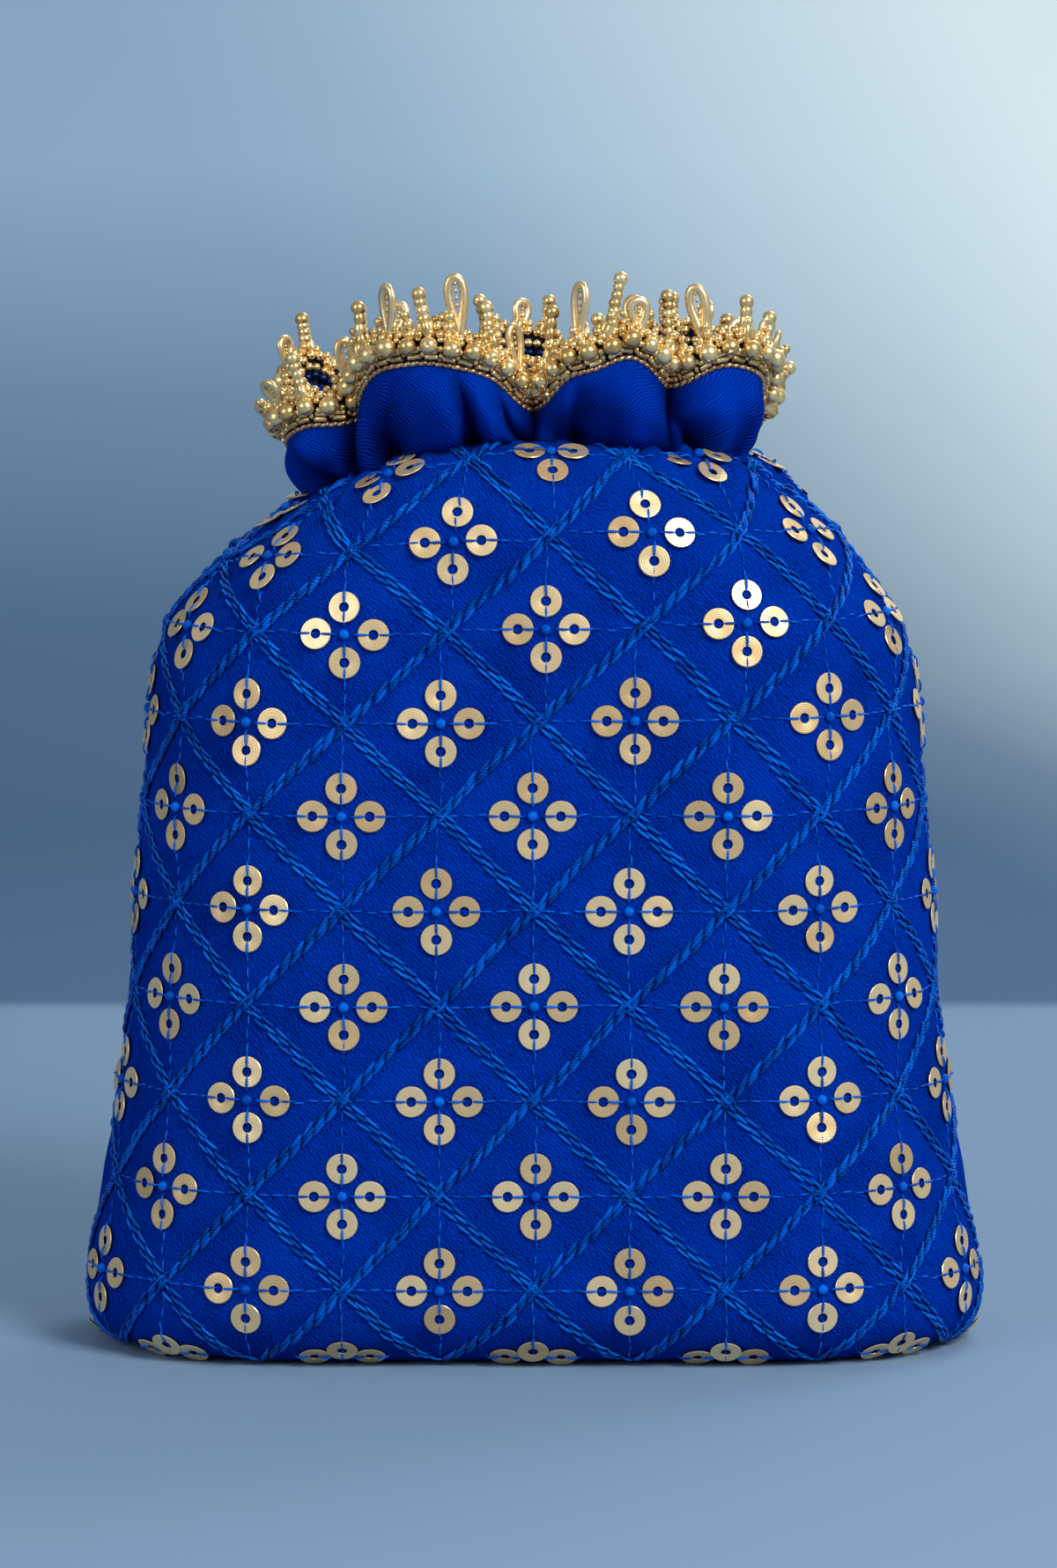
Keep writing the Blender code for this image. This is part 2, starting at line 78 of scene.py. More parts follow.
# Where the cloth departs from the part: the thickness that it is drawn with, how square the lower
# side corners are, and how far the neck sags at both sides and besides that at the left
DRAWN_CLOTH = CLOTH * 0.6
CORNER_TIGHTNESS = 1.3
NECK_SIDE_SAG = 0.007
LEFT_SAG = 0.0085

# Rows and columns of points on each sheet, columns of the net band, steps round a sequin, and the
# distances over which directions on the cloth and along the rim are taken
PANEL_GRID = (134, 118)
LINING_GRID = (40, 56)
FRILL_GRID = (30, 576)
NET_COLUMNS = 960
SEQUIN_STEPS = 22
AXIS_STEP = 0.0004
RIM_STEP = 0.0006

# Embroidery
FLOWER_PITCH = 0.0423
FIRST_ROW_HEIGHT = 0.0398
SEQUIN_RADIUS = 0.0035
SEQUIN_HOLE = 0.00115
SEQUIN_OFFSET = 0.0062
SEQUIN_RISE = 0.0004
# The lowest row of sequins is sewn at this place up the cloth, moved up by no more than the lift
LOWEST_SEQUIN = 0.0012
SEQUIN_LIFT = 0.005
# How much sequins tip up at the shoulders, and where up the cloth that starts and is full
SEQUIN_TIP = 0.13
SEQUIN_TIP_START = 0.125
SEQUIN_TIP_LENGTH = 0.05
# Distances out from a flower's middle: the stitches beside a sequin's hole, from the hole, and the
# running stitches
STITCH_SHIFT = 0.0026
RUNNING_STITCHES = (0.0111, 0.0143, 0.0175)
CLEAR_OF_FLOOR = 0.0042
SEAM_REACH = 0.0005
FOUR_WAYS = ((1, 0), (0, 1), (-1, 0), (0, -1))
# Length, radius and lift of each kind of stitch
SEQUIN_STITCH = (0.0042, 0.00030, 0.00075)
RUNNING_STITCH = (0.0030, 0.00025, 0.0002)
BRAID_STITCH = (0.0050, 0.00050, 0.0004)
LONG_STITCH = (0.0046, 0.00036, 0.0004)
TYING_STITCH = (0.0040, 0.00045, 0.0007)
# The rows of stitches that make up a line: how far across the line, and at what share of the pitch
BRAID_PITCH = 0.0038
BRAID_ROWS = ((-0.0007, 0.0), (0.0007, 0.5), (0.0, 0.25))
LONG_PITCH = 0.0040
LONG_ROWS = ((-0.0010, 0.0), (0.0, 0.45), (0.0010, 0.8))
TIE_HALF_GAP = 0.0007
KNOT_RADIUS = 0.00115
KNOT_STRAND_TURN = 0.0006
PUFF = 0.0012
PUFF_REACH = 0.006
PLEAT_LENGTH = 0.0088
PLEAT_DEPTH = 0.0019
PLEAT_REACH = 0.028
PLEAT_SIDE_START = 0.028
PLEAT_SIDE_LENGTH = 0.025
SEAM_GROOVE = 0.0009
SEAM_GROOVE_REACH = 0.0022
DRAPE = 0.0005
RELIEF_FADE = 0.018
PATTERN_DRIFT = 0.0045
DRIFT_START = 0.115
DRIFT_LENGTH = 0.095
DRIFT_HALF_WIDTH = 0.09
HAND_WAVER = 0.0004

# Frill
FRILL_RIM_HEIGHT = SHOULDER_START + SHOULDER_RADIUS * math.sin(SHOULDER_TURN) + 0.0198
FRILL_SIDE_DROP = 0.0120
FRILL_SIDE_NARROWNESS = 12
FRILL_VALLEY_DROP = 0.0070
FRILL_LOBE_FLARE = 0.0115
FRILL_VALLEY_FLARE = -0.003
FRILL_BELLY = 0.0064
FRILL_FOOT_DROP = 0.0006
FRILL_FLAT_HEIGHT = 0.022
FRILL_HALF_ROUND = 0.16
FRILL_LEFT_REACH = 0.05
FOLD_BEARINGS = np.array((-95, -55, 0, 40, 80, 120, 165, 205, 235, 265), float)
LOBE_ROUNDNESS = 0.62
FOLD_DEPTH = 0.0105
FOLD_SHARPNESS = 1.1
GATHER_DEPTH = 0.0017
GATHER_COUNT = 38
RIPPLE_DEPTH = 0.0005
RIPPLE_COUNT = 29
SIDE_TUCK = 0.008
RIM_SAMPLES = 2880
# Bearing of each side seam, how far round it the frill stands in, and how much
SIDE_NARROWING = ((92, 27, 0.80), (-90, 24, 0.50))
# Bearings, and how far the slack rim hangs below its level there
RIM_SLACK = np.array((
    (-180, 0.0046),
    (-140, 0.0034),
    (-105, -0.0020),
    (-95, -0.0018),
    (-80, 0.0042),
    (-68, 0.0062),
    (-46, -0.0005),
    (-34, 0.0006),
    (-13, 0.0040),
    (0, 0.0064),
    (13, 0.0046),
    (30, 0.0008),
    (64, 0.0028),
    (85, 0.0012),
    (105, 0.0010),
    (140, 0.0040),
    (180, 0.0046),
))

# Beaded trim: rises are heights above the frill's rim, pitches are from bead to bead round it
TRIM_LEAN = 0.22
TRIM_TOP = 0.0074
PIPING_RISE = 0.0006
PIPING_RADIUS = 0.00075
PIPING_PITCH = 0.00185
TUBE_RISE = 0.0028
TUBE_RADIUS = 0.00062
TUBE_HALF_LENGTH = 0.00145
TUBE_PITCH = 0.0039
DOT_PITCH = 0.0021
ROUND_RISE = 0.0053
ROUND_RADIUS = 0.0022
ROUND_OUT = 0.0023
ROUND_PITCH = 0.0045
ROUND_SHARE = 0.68
SEED_RISE = 0.0072
SEED_RADIUS = 0.0010
SEED_PITCH = 0.0021
UPPER_SEED_PITCH = 0.0030
STACKS_PER_UPRIGHT = 1.5
INNER_BLUE_PITCH = 0.0022
INNER_LOW_PITCH = 0.0024
INNER_HIGH_PITCH = 0.0023
UPRIGHT_COUNT = 42
UPRIGHT_HEIGHT = 0.0105
STRING_FOOT = 0.0044
# Rise and outward place of the corners of the net band's section
NET_SECTION = (
    (0.0004, 0.0002),
    (0.0026, 0.0002),
    (0.0050, 0.0001),
    (0.0068, -0.0001),
    (0.0068, -0.0009),
    (0.0050, -0.0008),
    (0.0026, -0.0006),
    (0.0004, -0.0005),
)

UPWARD = np.array((0.0, 0.0, 1.0))
rng = np.random.default_rng(11)


def smooth(f):
    """The smoothstep 3 f^2 - 2 f^3."""
    return f**2 * (3 - 2 * f)


def half_width(height):
    """Half width of the body at a height: a smooth curve through the side outline's points, each
    stretch a cubic whose end slopes are those of the chords to the neighbouring points."""
    knots, widths = SIDE_OUTLINE.T
    height = np.clip(height, knots[0], knots[-1])
    low = np.clip(np.searchsorted(knots, height, side="left") - 1, 0, len(knots) - 2)
    before = np.maximum(low - 1, 0)
    after = np.minimum(low + 2, len(knots) - 1)
    span = knots[low + 1] - knots[low]
    slope_low = (widths[low + 1] - widths[before]) / (knots[low + 1] - knots[before])
    slope_high = (widths[after] - widths[low]) / (knots[after] - knots[low])
    f = (height - knots[low]) / span
    chord = widths[low] + (widths[low + 1] - widths[low]) * smooth(f)
    return chord + span * f * (1 - f) * ((1 - f) * slope_low - f * slope_high)


def level_section(t):
    """Level section at a distance t up the cloth. Below, the cloth turns under on a quarter circle;
    above, it turns in to the neck on another. Gives height, straight half width, side radius, the
    radius that the cloth is measured on, and how far the gathers squeeze the cloth."""
    turn_low = np.clip((BASE_EDGE_RADIUS - t) / BASE_EDGE_RADIUS, 0, None)
    turn_high = np.clip((t - SHOULDER_START) / SHOULDER_RADIUS, 0, None)
    wall = np.clip(t, BASE_EDGE_RADIUS, SHOULDER_START)
    height = wall - BASE_EDGE_RADIUS * np.sin(turn_low) + SHOULDER_RADIUS * np.sin(turn_high)
    depth = HALF_DEPTH - SHOULDER_RADIUS * (1 - np.cos(turn_high))
    straight = half_width(height) - depth
    radius = depth - BASE_EDGE_RADIUS * (1 - np.cos(turn_low))
    full = half_width(SHOULDER_START) - HALF_DEPTH + HALF_DEPTH * math.pi / 2
    squeeze = np.where(turn_high > 0, (straight + depth * math.pi / 2) / full, 1.0)
    return height, straight, radius, depth, squeeze


def seam_distance(t):
    """Distance along the cloth from a panel's middle to its side seam."""
    _, straight, _, measure, squeeze = level_section(t)
    return (straight + measure * math.pi / 2) / squeeze


def body_point(s, t, side):
    """Point of the body: s runs along a straight front and then round a circular side. Where the
    cloth turns under, its side corners are squarer than the quarter circle of the front."""
    height, straight, radius, measure, squeeze = level_section(t)
    along = np.abs(s) * squeeze
    turn = np.clip((along - straight) / measure, 0, None)
    tuck = measure - radius
    share = tuck / (BASE_EDGE_RADIUS * (1 - math.cos(BASE_EDGE_TURN)))
    x = np.minimum(along, straight) + (measure - tuck * share**CORNER_TIGHTNESS) * np.sin(turn)
    y = radius * np.cos(turn)
    x = np.sign(s) * x * side
    rise = np.clip((t - SIDE_BEND_START) / (SHOULDER_END - SIDE_BEND_START), 0, 1)
    out = x / (straight + radius)
    sag = (NECK_SIDE_SAG + LEFT_SAG * (out < 0)) * smooth(rise) * out**2
    return np.stack((x, -y * side, height - sag), axis=-1)


def unit(vectors):
    return vectors / np.linalg.norm(vectors, axis=-1, keepdims=True)


def body_axes(s, t, side, slope=0.0):
    """Axes on the cloth: along the line that climbs by slope for each step of s, across it, and
    out of the cloth."""
    t = np.clip(t, BASE_START + 2 * AXIS_STEP, SHOULDER_END - 2 * AXIS_STEP)
    along = body_point(s + AXIS_STEP, t, side) - body_point(s - AXIS_STEP, t, side)
    up = body_point(s, t + AXIS_STEP, side) - body_point(s, t - AXIS_STEP, side)
    out = unit(np.cross(along, up))
    forward = unit(along + slope * up)
    return np.stack((forward, np.cross(out, forward), out), axis=-2)


def drift(s, t):
    """How far the gathers pull the pattern at a flat point, growing smoothly towards the neck:
    to the right all over, and down on the left. The lines also waver a little by hand."""
    near = smooth(np.clip((t - DRIFT_START) / DRIFT_LENGTH, 0, 1))
    waver = HAND_WAVER * np.sin(t * 190.0 + 3 * np.sin(s * 61.0))
    right = PATTERN_DRIFT * near * (1 + s / DRIFT_HALF_WIDTH) + waver
    down = PATTERN_DRIFT * near * np.clip(0.45 - s / DRIFT_HALF_WIDTH, 0, 1)
    return right, -down


def laid(s, t):
    """Where a place of the regular pattern lies on the cloth."""
    right, up = drift(s, t)
    return s + right, t + up


def lattice_distance(s, t):
    """Distance of a flat point from the nearest of the diagonal stitch lines."""
    right, up = drift(s, t)
    right, up = drift(s - right, t - up)
    s, t = s - right, t - up
    rising = (s - (t - FIRST_ROW_HEIGHT)) / FLOWER_PITCH
    falling = (s + (t - FIRST_ROW_HEIGHT)) / FLOWER_PITCH
    nearest = np.minimum(
        np.abs(rising - np.floor(rising) - 0.5), np.abs(falling - np.floor(falling) - 0.5)
    )
    return nearest * FLOWER_PITCH / math.sqrt(2)


def cloth_rise(s, t):
    """Relief of the cloth: puffed between the stitch lines by 1 - exp(-distance), pleated at the
    neck's sides by a sine of s, drawn in at the side seams by a bell curve, and slightly waved. It
    fades out by a smoothstep at the base."""
    puff = PUFF * (1 - np.exp(-lattice_distance(s, t) / PUFF_REACH))
    near_neck = np.clip((t - SHOULDER_END + PLEAT_REACH) / PLEAT_REACH, 0, 1) ** 1.4
    sideways = np.clip((np.abs(s) - PLEAT_SIDE_START) / PLEAT_SIDE_LENGTH, 0, 1)
    wander = 0.8 * np.sin(s * 90.0) + 0.5 * np.sin(s * 230.0)
    pleat = np.sin(2 * math.pi * s / PLEAT_LENGTH + wander)
    pleats = PLEAT_DEPTH * near_neck * (0.2 + 0.8 * sideways) * pleat
    seam = -SEAM_GROOVE * np.exp(-((seam_distance(t) - np.abs(s)) / SEAM_GROOVE_REACH) ** 2)
    drape = DRAPE * np.sin(s * 55.0 + 2.0 * np.sin(t * 31.0)) * np.sin(t * 47.0 + 1.0)
    fade = np.clip((t - BASE_START) / RELIEF_FADE, 0, 1)
    return (puff + pleats + drape + seam) * smooth(fade)


def on_cloth(s, t, rise, side):
    """Point at a height above the relief of the cloth."""
    out = body_axes(s, t, side)[..., 2, :]
    return body_point(s, t, side) + out * (cloth_rise(s, t) + rise)[..., None]


def grid_quads(rows, columns, ring=False, closed=False):
    """Quads of a grid of points, row after row. A ring joins each row's end to its start, and a
    closed grid joins the last row to the first."""
    row = np.arange(rows if closed else rows - 1)[:, None] * columns
    above = (row + columns) % (rows * columns)
    column = np.arange(columns if ring else columns - 1)[None, :]
    after = (column + 1) % columns
    return np.stack((row + column, row + after, above + after, above + column), -1).reshape(-1, 4)


def capped_faces(rows, columns):
    """Faces of a tube of rings of points, with a flat face at each end."""
    last = (rows - 1) * columns
    faces = grid_quads(rows, columns, ring=True).tolist()
    return faces + [list(range(columns))[::-1], list(range(last, last + columns))]


def flipped(faces):
    return [face[::-1] for face in faces]


def round_turns(steps):
    """Even angles round a full turn."""
    return 2 * math.pi * np.arange(steps) / steps


def turned_points(radius, height, steps):
    """Rings of points round the upright axis, one for each radius and height."""
    turn = round_turns(steps)
    level = np.repeat(height[:, None], steps, axis=1)
    x, y = radius[:, None] * np.cos(turn), radius[:, None] * np.sin(turn)
    return np.stack((x, y, level), axis=-1).reshape(-1, 3)


def link(item):
    bpy.context.scene.collection.objects.link(item)


def add_mesh(name, points, faces, material, uv=None, tone=None, sharp=None):
    """A piece from points and faces, with its cloth coordinates and tone kept on its points. The
    tone varies at random on most pieces and is painted shade on the frill.
    """
    mesh = bpy.data.meshes.new(name)
    mesh.from_pydata(np.asarray(points).reshape(-1, 3).tolist(), [], [list(f) for f in faces])
    if uv is not None:
        corner = np.empty(len(mesh.loops), dtype=np.int32)
        mesh.loops.foreach_get("vertex_index", corner)
        layer = mesh.uv_layers.new(name="cloth")
        layer.data.foreach_set("uv", np.asarray(uv).reshape(-1, 2)[corner].ravel())
    if tone is not None:
        layer = mesh.attributes.new("tone", "FLOAT", "POINT")
        layer.data.foreach_set("value", np.asarray(tone, dtype=np.float32).ravel())
    mesh.shade_smooth()
    if sharp is not None:
        mesh.set_sharp_from_angle(angle=math.radians(sharp))
    mesh.materials.append(material)
    item = bpy.data.objects.new(name, mesh)
    link(item)
    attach(item, "root")
    return item


def thread_form(length, radius, lift, steps=4):
    """A short stitch: a tube on an arch from one point under the cloth to another, thin at both
    ends. Gives points, faces and, for each point, its place round and along the tube."""
    sides = 4
    f = np.linspace(0, 1, steps + 2)
    arch = np.sqrt(np.sin(math.pi * f))
    width = radius * (0.25 + 0.75 * arch[:, None])
    turn = round_turns(sides)
    x = np.repeat((f - 0.5) * length, sides)
    y = (width * np.cos(turn)).ravel()
    z = ((lift + radius) * arch[:, None] - radius * 0.6 + width * np.sin(turn)).ravel()
    round_place = np.tile(np.abs(turn / math.pi - 1), steps + 2) * radius * math.pi
    faces = flipped(capped_faces(steps + 2, sides))
    return np.stack((x, y, z), axis=-1), faces, np.stack((round_place, x), axis=-1)


def ball_form(steps, rings):
    """A ball of radius 1: rings of points between two poles, closed by fans."""
    tilt = math.pi * (np.arange(rings) + 1) / (rings + 1)
    ring = turned_points(np.sin(tilt), np.cos(tilt), steps)
    points = np.vstack((ring, [[0, 0, 1], [0, 0, -1]]))
    faces = grid_quads(rings, steps, ring=True)[:, ::-1].tolist()
    top, bottom = len(ring), len(ring) + 1
    last = (rings - 1) * steps
    faces += [[top, k, (k + 1) % steps] for k in range(steps)]
    faces += [[bottom, last + (k + 1) % steps, last + k] for k in range(steps)]
    return points, faces


def ring_form(profile, steps):
    """A turned ring: a closed profile of radius and height, carried round the upright axis."""
    radius, height = np.array(profile).T
    faces = grid_quads(len(profile), steps, ring=True, closed=True).tolist()
    return turned_points(radius, height, steps), faces


def copies(form_points, form_faces, origins, axes):
    """Copies of a small form, each set at its origin along its own three axes."""
    points = origins[:, None, :] + np.einsum("kc,ncd->nkd", form_points, axes)
    count = len(form_points)
    starts = range(0, count * len(origins), count)
    faces = [[i + start for i in face] for start in starts for face in form_faces]
    return points.reshape(-1, 3), faces


def scatter(name, form, origins, axes, material, sharp=None):
    """Copies of a form as one piece; each copy has its own tone."""
    form_points, form_faces = form[:2]
    points, faces = copies(form_points, form_faces, origins, axes)
    uv = np.tile(form[2], (len(origins), 1)) if len(form) > 2 else None
    tones = np.repeat(rng.uniform(0, 1, len(origins)), len(form_points))
    return add_mesh(name, points, faces, material, uv, tones, sharp)


def turned(axes, angle):
    """Axes turned by an angle about the one that points out of the cloth."""
    c, s = np.cos(angle)[..., None], np.sin(angle)[..., None]
    forward, across, out = axes[..., 0, :], axes[..., 1, :], axes[..., 2, :]
    return np.stack((c * forward + s * across, c * across - s * forward, out), axis=-2)


def tilted(axes, amount):
    """Axes tipped by small random angles, so that flat pieces don't all catch the light alike."""
    tip = rng.normal(0, amount, (2, len(axes), 1))
    out = unit(axes[:, 2, :] + tip[0] * axes[:, 0, :] + tip[1] * axes[:, 1, :])
    forward = unit(axes[:, 0, :] - out * np.sum(axes[:, 0, :] * out, axis=-1, keepdims=True))
    return np.stack((forward, np.cross(out, forward), out), axis=-2)


# Materials

# Near black blue: the cloth's darkest stop, which painted shade in the frill's folds reaches
BLACK_BLUE = (0.0, 0.001, 0.022)
BLUE_GLINT = (0.0, 0.16, 1.0, 1.0)
THREAD_GLINT = (0.02, 0.40, 1.0, 1.0)


def new_material(name):
    material = bpy.data.materials.new(name)
    material.use_nodes = True
    tree = material.node_tree
    return material, tree, tree.nodes["Principled BSDF"]


def add_node(tree, kind, **values):
    node = tree.nodes.new(kind)
    for key, value in values.items():
        if key in node.inputs:
            node.inputs[key].default_value = value
        else:
            setattr(node, key, value)
    return node


def set_surface(shader, **values):
    """Sets constant values on the shader's sockets, named with underscores for spaces."""
    for key, value in values.items():
        shader.inputs[key.replace("_", " ")].default_value = value


def cloth_place(tree):
    return add_node(tree, "ShaderNodeUVMap", uv_map="cloth").outputs["UV"]


def piece_tone(tree):
    return add_node(tree, "ShaderNodeAttribute", attribute_name="tone").outputs["Fac"]


def add_bands(tree, period, distortion, direction="DIAGONAL", tightness=1.0, detail=1.0):
    """Wave bands in the cloth's coordinates that repeat after a period. The lower the tightness,
    the longer are the bends that the distortion gives the bands."""
    node = add_node(
        tree, "ShaderNodeTexWave", wave_type="BANDS", bands_direction=direction,
        Scale=math.pi / (10 * period), Distortion=distortion, Detail=detail,
    )
    node.inputs["Detail Scale"].default_value = tightness
    tree.links.new(cloth_place(tree), node.inputs["Vector"])
    return node.outputs["Fac"]


def add_noise(tree, place, scale, detail=2.0):
    node = add_node(tree, "ShaderNodeTexNoise", Scale=scale, Detail=detail)
    tree.links.new(place, node.inputs["Vector"])
    return node.outputs["Fac"]


def add_math(tree, operation, first, second):
    node = tree.nodes.new("ShaderNodeMath")
    node.operation = operation
    for socket, value in zip(node.inputs, (first, second)):
        if isinstance(value, (int, float)):
            socket.default_value = value
        else:
            tree.links.new(value, socket)
    return node.outputs[0]


def weighted_sum(tree, *terms):
    """Sum of sources, each times its own weight."""
    total = 0.0
    for source, weight in terms:
        total = add_math(tree, "ADD", total, add_math(tree, "MULTIPLY", source, weight))
    return total


def add_ramp(tree, source, stops):
    node = tree.nodes.new("ShaderNodeValToRGB")
    elements = node.color_ramp.elements
    while len(elements) < len(stops):
        elements.new(0.5)
    for element, (place, color) in zip(elements, stops):
        element.position = place
        element.color = (*color, 1.0)
    tree.links.new(source, node.inputs["Fac"])
    return node.outputs["Color"]


def color_by(tree, shader, source, stops):
    tree.links.new(add_ramp(tree, source, stops), shader.inputs["Base Color"])


def add_bump(tree, shader, height, strength, distance):
    bump = add_node(tree, "ShaderNodeBump", Strength=strength, Distance=distance)
    tree.links.new(height, bump.inputs["Height"])
    tree.links.new(bump.outputs["Normal"], shader.inputs["Normal"])


def cloth_material(name, dark, bright, grain, sheen, meander=7.0, tightness=1.3):
    """Crepe cloth: slanting grain lines that meander over a fine weave, with slow changes of shade.
    The tone kept on its points darkens it; on the frill that tone is painted shade, high in the
    folds."""
    material, tree, shader = new_material(name)
    place = cloth_place(tree)
    slant = add_bands(tree, grain, meander, tightness=tightness)
    fine = add_noise(tree, place, 1 / (grain * 0.9))
    slow = add_noise(tree, place, 55.0, detail=3.0)
    height = weighted_sum(tree, (slant, 0.45), (fine, 0.75))
    # the frill's tone takes off painted shade where its folds are deep
    shade = weighted_sum(tree, (height, 0.7), (slow, 0.45), (piece_tone(tree), -0.5))
    color_by(tree, shader, shade, ((0.1, BLACK_BLUE), (0.38, dark), (0.85, bright)))
    set_surface(
        shader, Roughness=0.8, IOR=1.15, Specular_IOR_Level=0.05, Specular_Tint=BLUE_GLINT,
        Sheen_Weight=sheen, Sheen_Roughness=0.35, Sheen_Tint=BLUE_GLINT,
    )
    add_bump(tree, shader, height, 0.75, grain * 0.5)
    return material


def toned_material(name, texture, weights, ramp, bump, **surface):
    """A material whose shade adds up each copy's own tone and a texture, by two weights. The
    texture is made by a function of the node tree, and the same texture raises the surface."""
    material, tree, shader = new_material(name)
    pattern = texture(tree)
    shade = weighted_sum(tree, (piece_tone(tree), weights[0]), (pattern, weights[1]))
    color_by(tree, shader, shade, ramp)
    set_surface(shader, **surface)
    add_bump(tree, shader, pattern, *bump)
    return material


def thread_material(name, dark, bright, strand):
    """Shiny embroidery thread, with fine strands twisted along it."""
    return toned_material(
        name, lambda tree: add_bands(tree, strand, 1.5), (0.55, 0.45),
        ((0.1, dark), (0.9, bright)), (0.5, strand * 0.5),
        Roughness=0.36, Specular_IOR_Level=0.6, Specular_Tint=THREAD_GLINT,
    )


def metal_material(name, dark, bright, roughness, grain):
    """Polished cast metal with slight dents; deeper tones sit in its hollows."""
    def dents(tree):
        place = add_node(tree, "ShaderNodeTexCoord").outputs["Object"]
        return add_noise(tree, place, 1 / grain)

    return toned_material(
        name, dents, (0.5, 0.6), ((0.2, dark), (0.8, bright)), (0.35, grain * 0.12),
        Metallic=0.85, Roughness=roughness,
    )


EMBROIDERED = cloth_material(
    "royal_blue_crepe", (0.0, 0.0060, 0.10), (0.0, 0.0375, 0.395), 0.00055, 0.06
)
PLAIN = cloth_material(
    "plain_blue_crepe", (0.0, 0.0055, 0.095), (0.0, 0.042, 0.46), 0.00045, 0.04, 16.0, 0.26
)
LINING_CLOTH = cloth_material(
    "lining_cloth", (0.0, 0.006, 0.09), (0.001, 0.02, 0.22), 0.0006, 0.05
)
BRAID = thread_material("braid_thread", (0.0, 0.008, 0.11), (0.0, 0.12, 0.70), 0.0004)
BRIGHT = thread_material("bright_thread", (0.0, 0.012, 0.17), (0.001, 0.19, 0.86), 0.0003)
FINE = thread_material("running_thread", (0.0, 0.028, 0.30), (0.001, 0.15, 0.80), 0.00025)
# Matt champagne metal, turned in fine rings about each sequin's hole
SEQUIN = toned_material(
    "champagne_sequin", lambda tree: add_bands(tree, 0.00048, 0.4, direction="X", detail=2.0),
    (0.7, 0.3), ((0.1, (0.66, 0.44, 0.205)), (0.9, (0.97, 0.74, 0.41))), (0.35, 0.00006),
    Metallic=0.65, Roughness=0.36,
)
GOLD, PALE_GOLD, BRONZE, BLUE_BEAD = (
    metal_material(*look)
    for look in (
        ("antique_gold", (0.58, 0.36, 0.11), (1.0, 0.75, 0.36), 0.27, 0.0014),
        ("pale_gold", (0.66, 0.44, 0.17), (0.98, 0.75, 0.41), 0.3, 0.0015),
        ("bronze_piping", (0.30, 0.15, 0.07), (0.66, 0.42, 0.24), 0.28, 0.001),
        ("dark_blue_bead", (0.004, 0.012, 0.06), (0.01, 0.04, 0.18), 0.3, 0.001),
    )
)
# Dark net: a fine mesh of threads over black
NET = toned_material(
    "dark_net", lambda tree: add_bands(tree, 0.0007, 0.6, detail=2.0), (0.0, 1.0),
    ((0.3, (0.003, 0.005, 0.014)), (0.9, (0.010, 0.014, 0.035))), (0.4, 0.0002),
    Roughness=0.7, Specular_IOR_Level=0.05,
)


# The cloth of the body

def thicken(item, offset):
    """Gives a sheet the cloth's drawn thickness, inwards for an offset of -1, both ways for 0."""
    thickness = item.modifiers.new("thickness", "SOLIDIFY")
    thickness.thickness = DRAWN_CLOTH
    thickness.offset = offset
    thickness.use_even_offset = False


def make_panel(name, side, node):
    """One panel: its flat grid of s and t carried onto the body, raised by the cloth's relief."""
    rows, columns = PANEL_GRID
    t = np.linspace(BASE_START, SHOULDER_END, rows)[:, None]
    s = np.linspace(-1, 1, columns)[None, :] * (seam_distance(t) - SEAM_GAP / 2)
    t = np.broadcast_to(t, s.shape)
    points = on_cloth(s, t, np.zeros_like(s), side)
    uv = np.stack((s, t), axis=-1)
    item = add_mesh(name, points, grid_quads(rows, columns), EMBROIDERED, uv)
    thicken(item, -1)
    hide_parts(node)
    return item


def pattern_middles(odd):
    """Middles of the pattern: two square grids, one half a step from the other. Where odd is 0
    these are the flowers, and where it is 1 the crossings of the stitch lines."""
    row = np.arange(-2, 10)[:, None]
    column = np.arange(-4, 5)[None, :]
    t = FIRST_ROW_HEIGHT + row * FLOWER_PITCH / 2 + 0 * column
    s = (column + ((row + odd) % 2) / 2) * FLOWER_PITCH
    return laid(s.ravel(), t.ravel())


def flowers():
    """Middles of the flowers whose middle is on the panel or within a seam's reach of it."""
    s, t = pattern_middles(0)
    inside = np.abs(s) < seam_distance(t) + SEAM_REACH
    return s[inside], t[inside]


def kept(s, t, margin):
    """Which flat points lie on the panel, a margin inside its border."""
    return (
        (t > BASE_START + CLEAR_OF_FLOOR + margin)
        & (t < SHOULDER_END - margin)
        & (np.abs(s) < seam_distance(t) - margin)
    )


def on_frames(s, t, rise, side, slope=0.0):
    """Origins and axes of small pieces that sit on the cloth."""
    return on_cloth(s, t, np.full_like(s, rise), side), body_axes(s, t, side, slope)


def sequin_places(s, t):
    """Sequins that fit on the panel; those of the lowest row are sewn clear of the floor."""
    low = t < LOWEST_SEQUIN
    keep = (t > LOWEST_SEQUIN - SEQUIN_LIFT) & (t < SHOULDER_END - SEQUIN_RADIUS)
    keep &= np.abs(s) < seam_distance(t) - SEQUIN_RADIUS
    return s, np.where(low, LOWEST_SEQUIN, t), keep


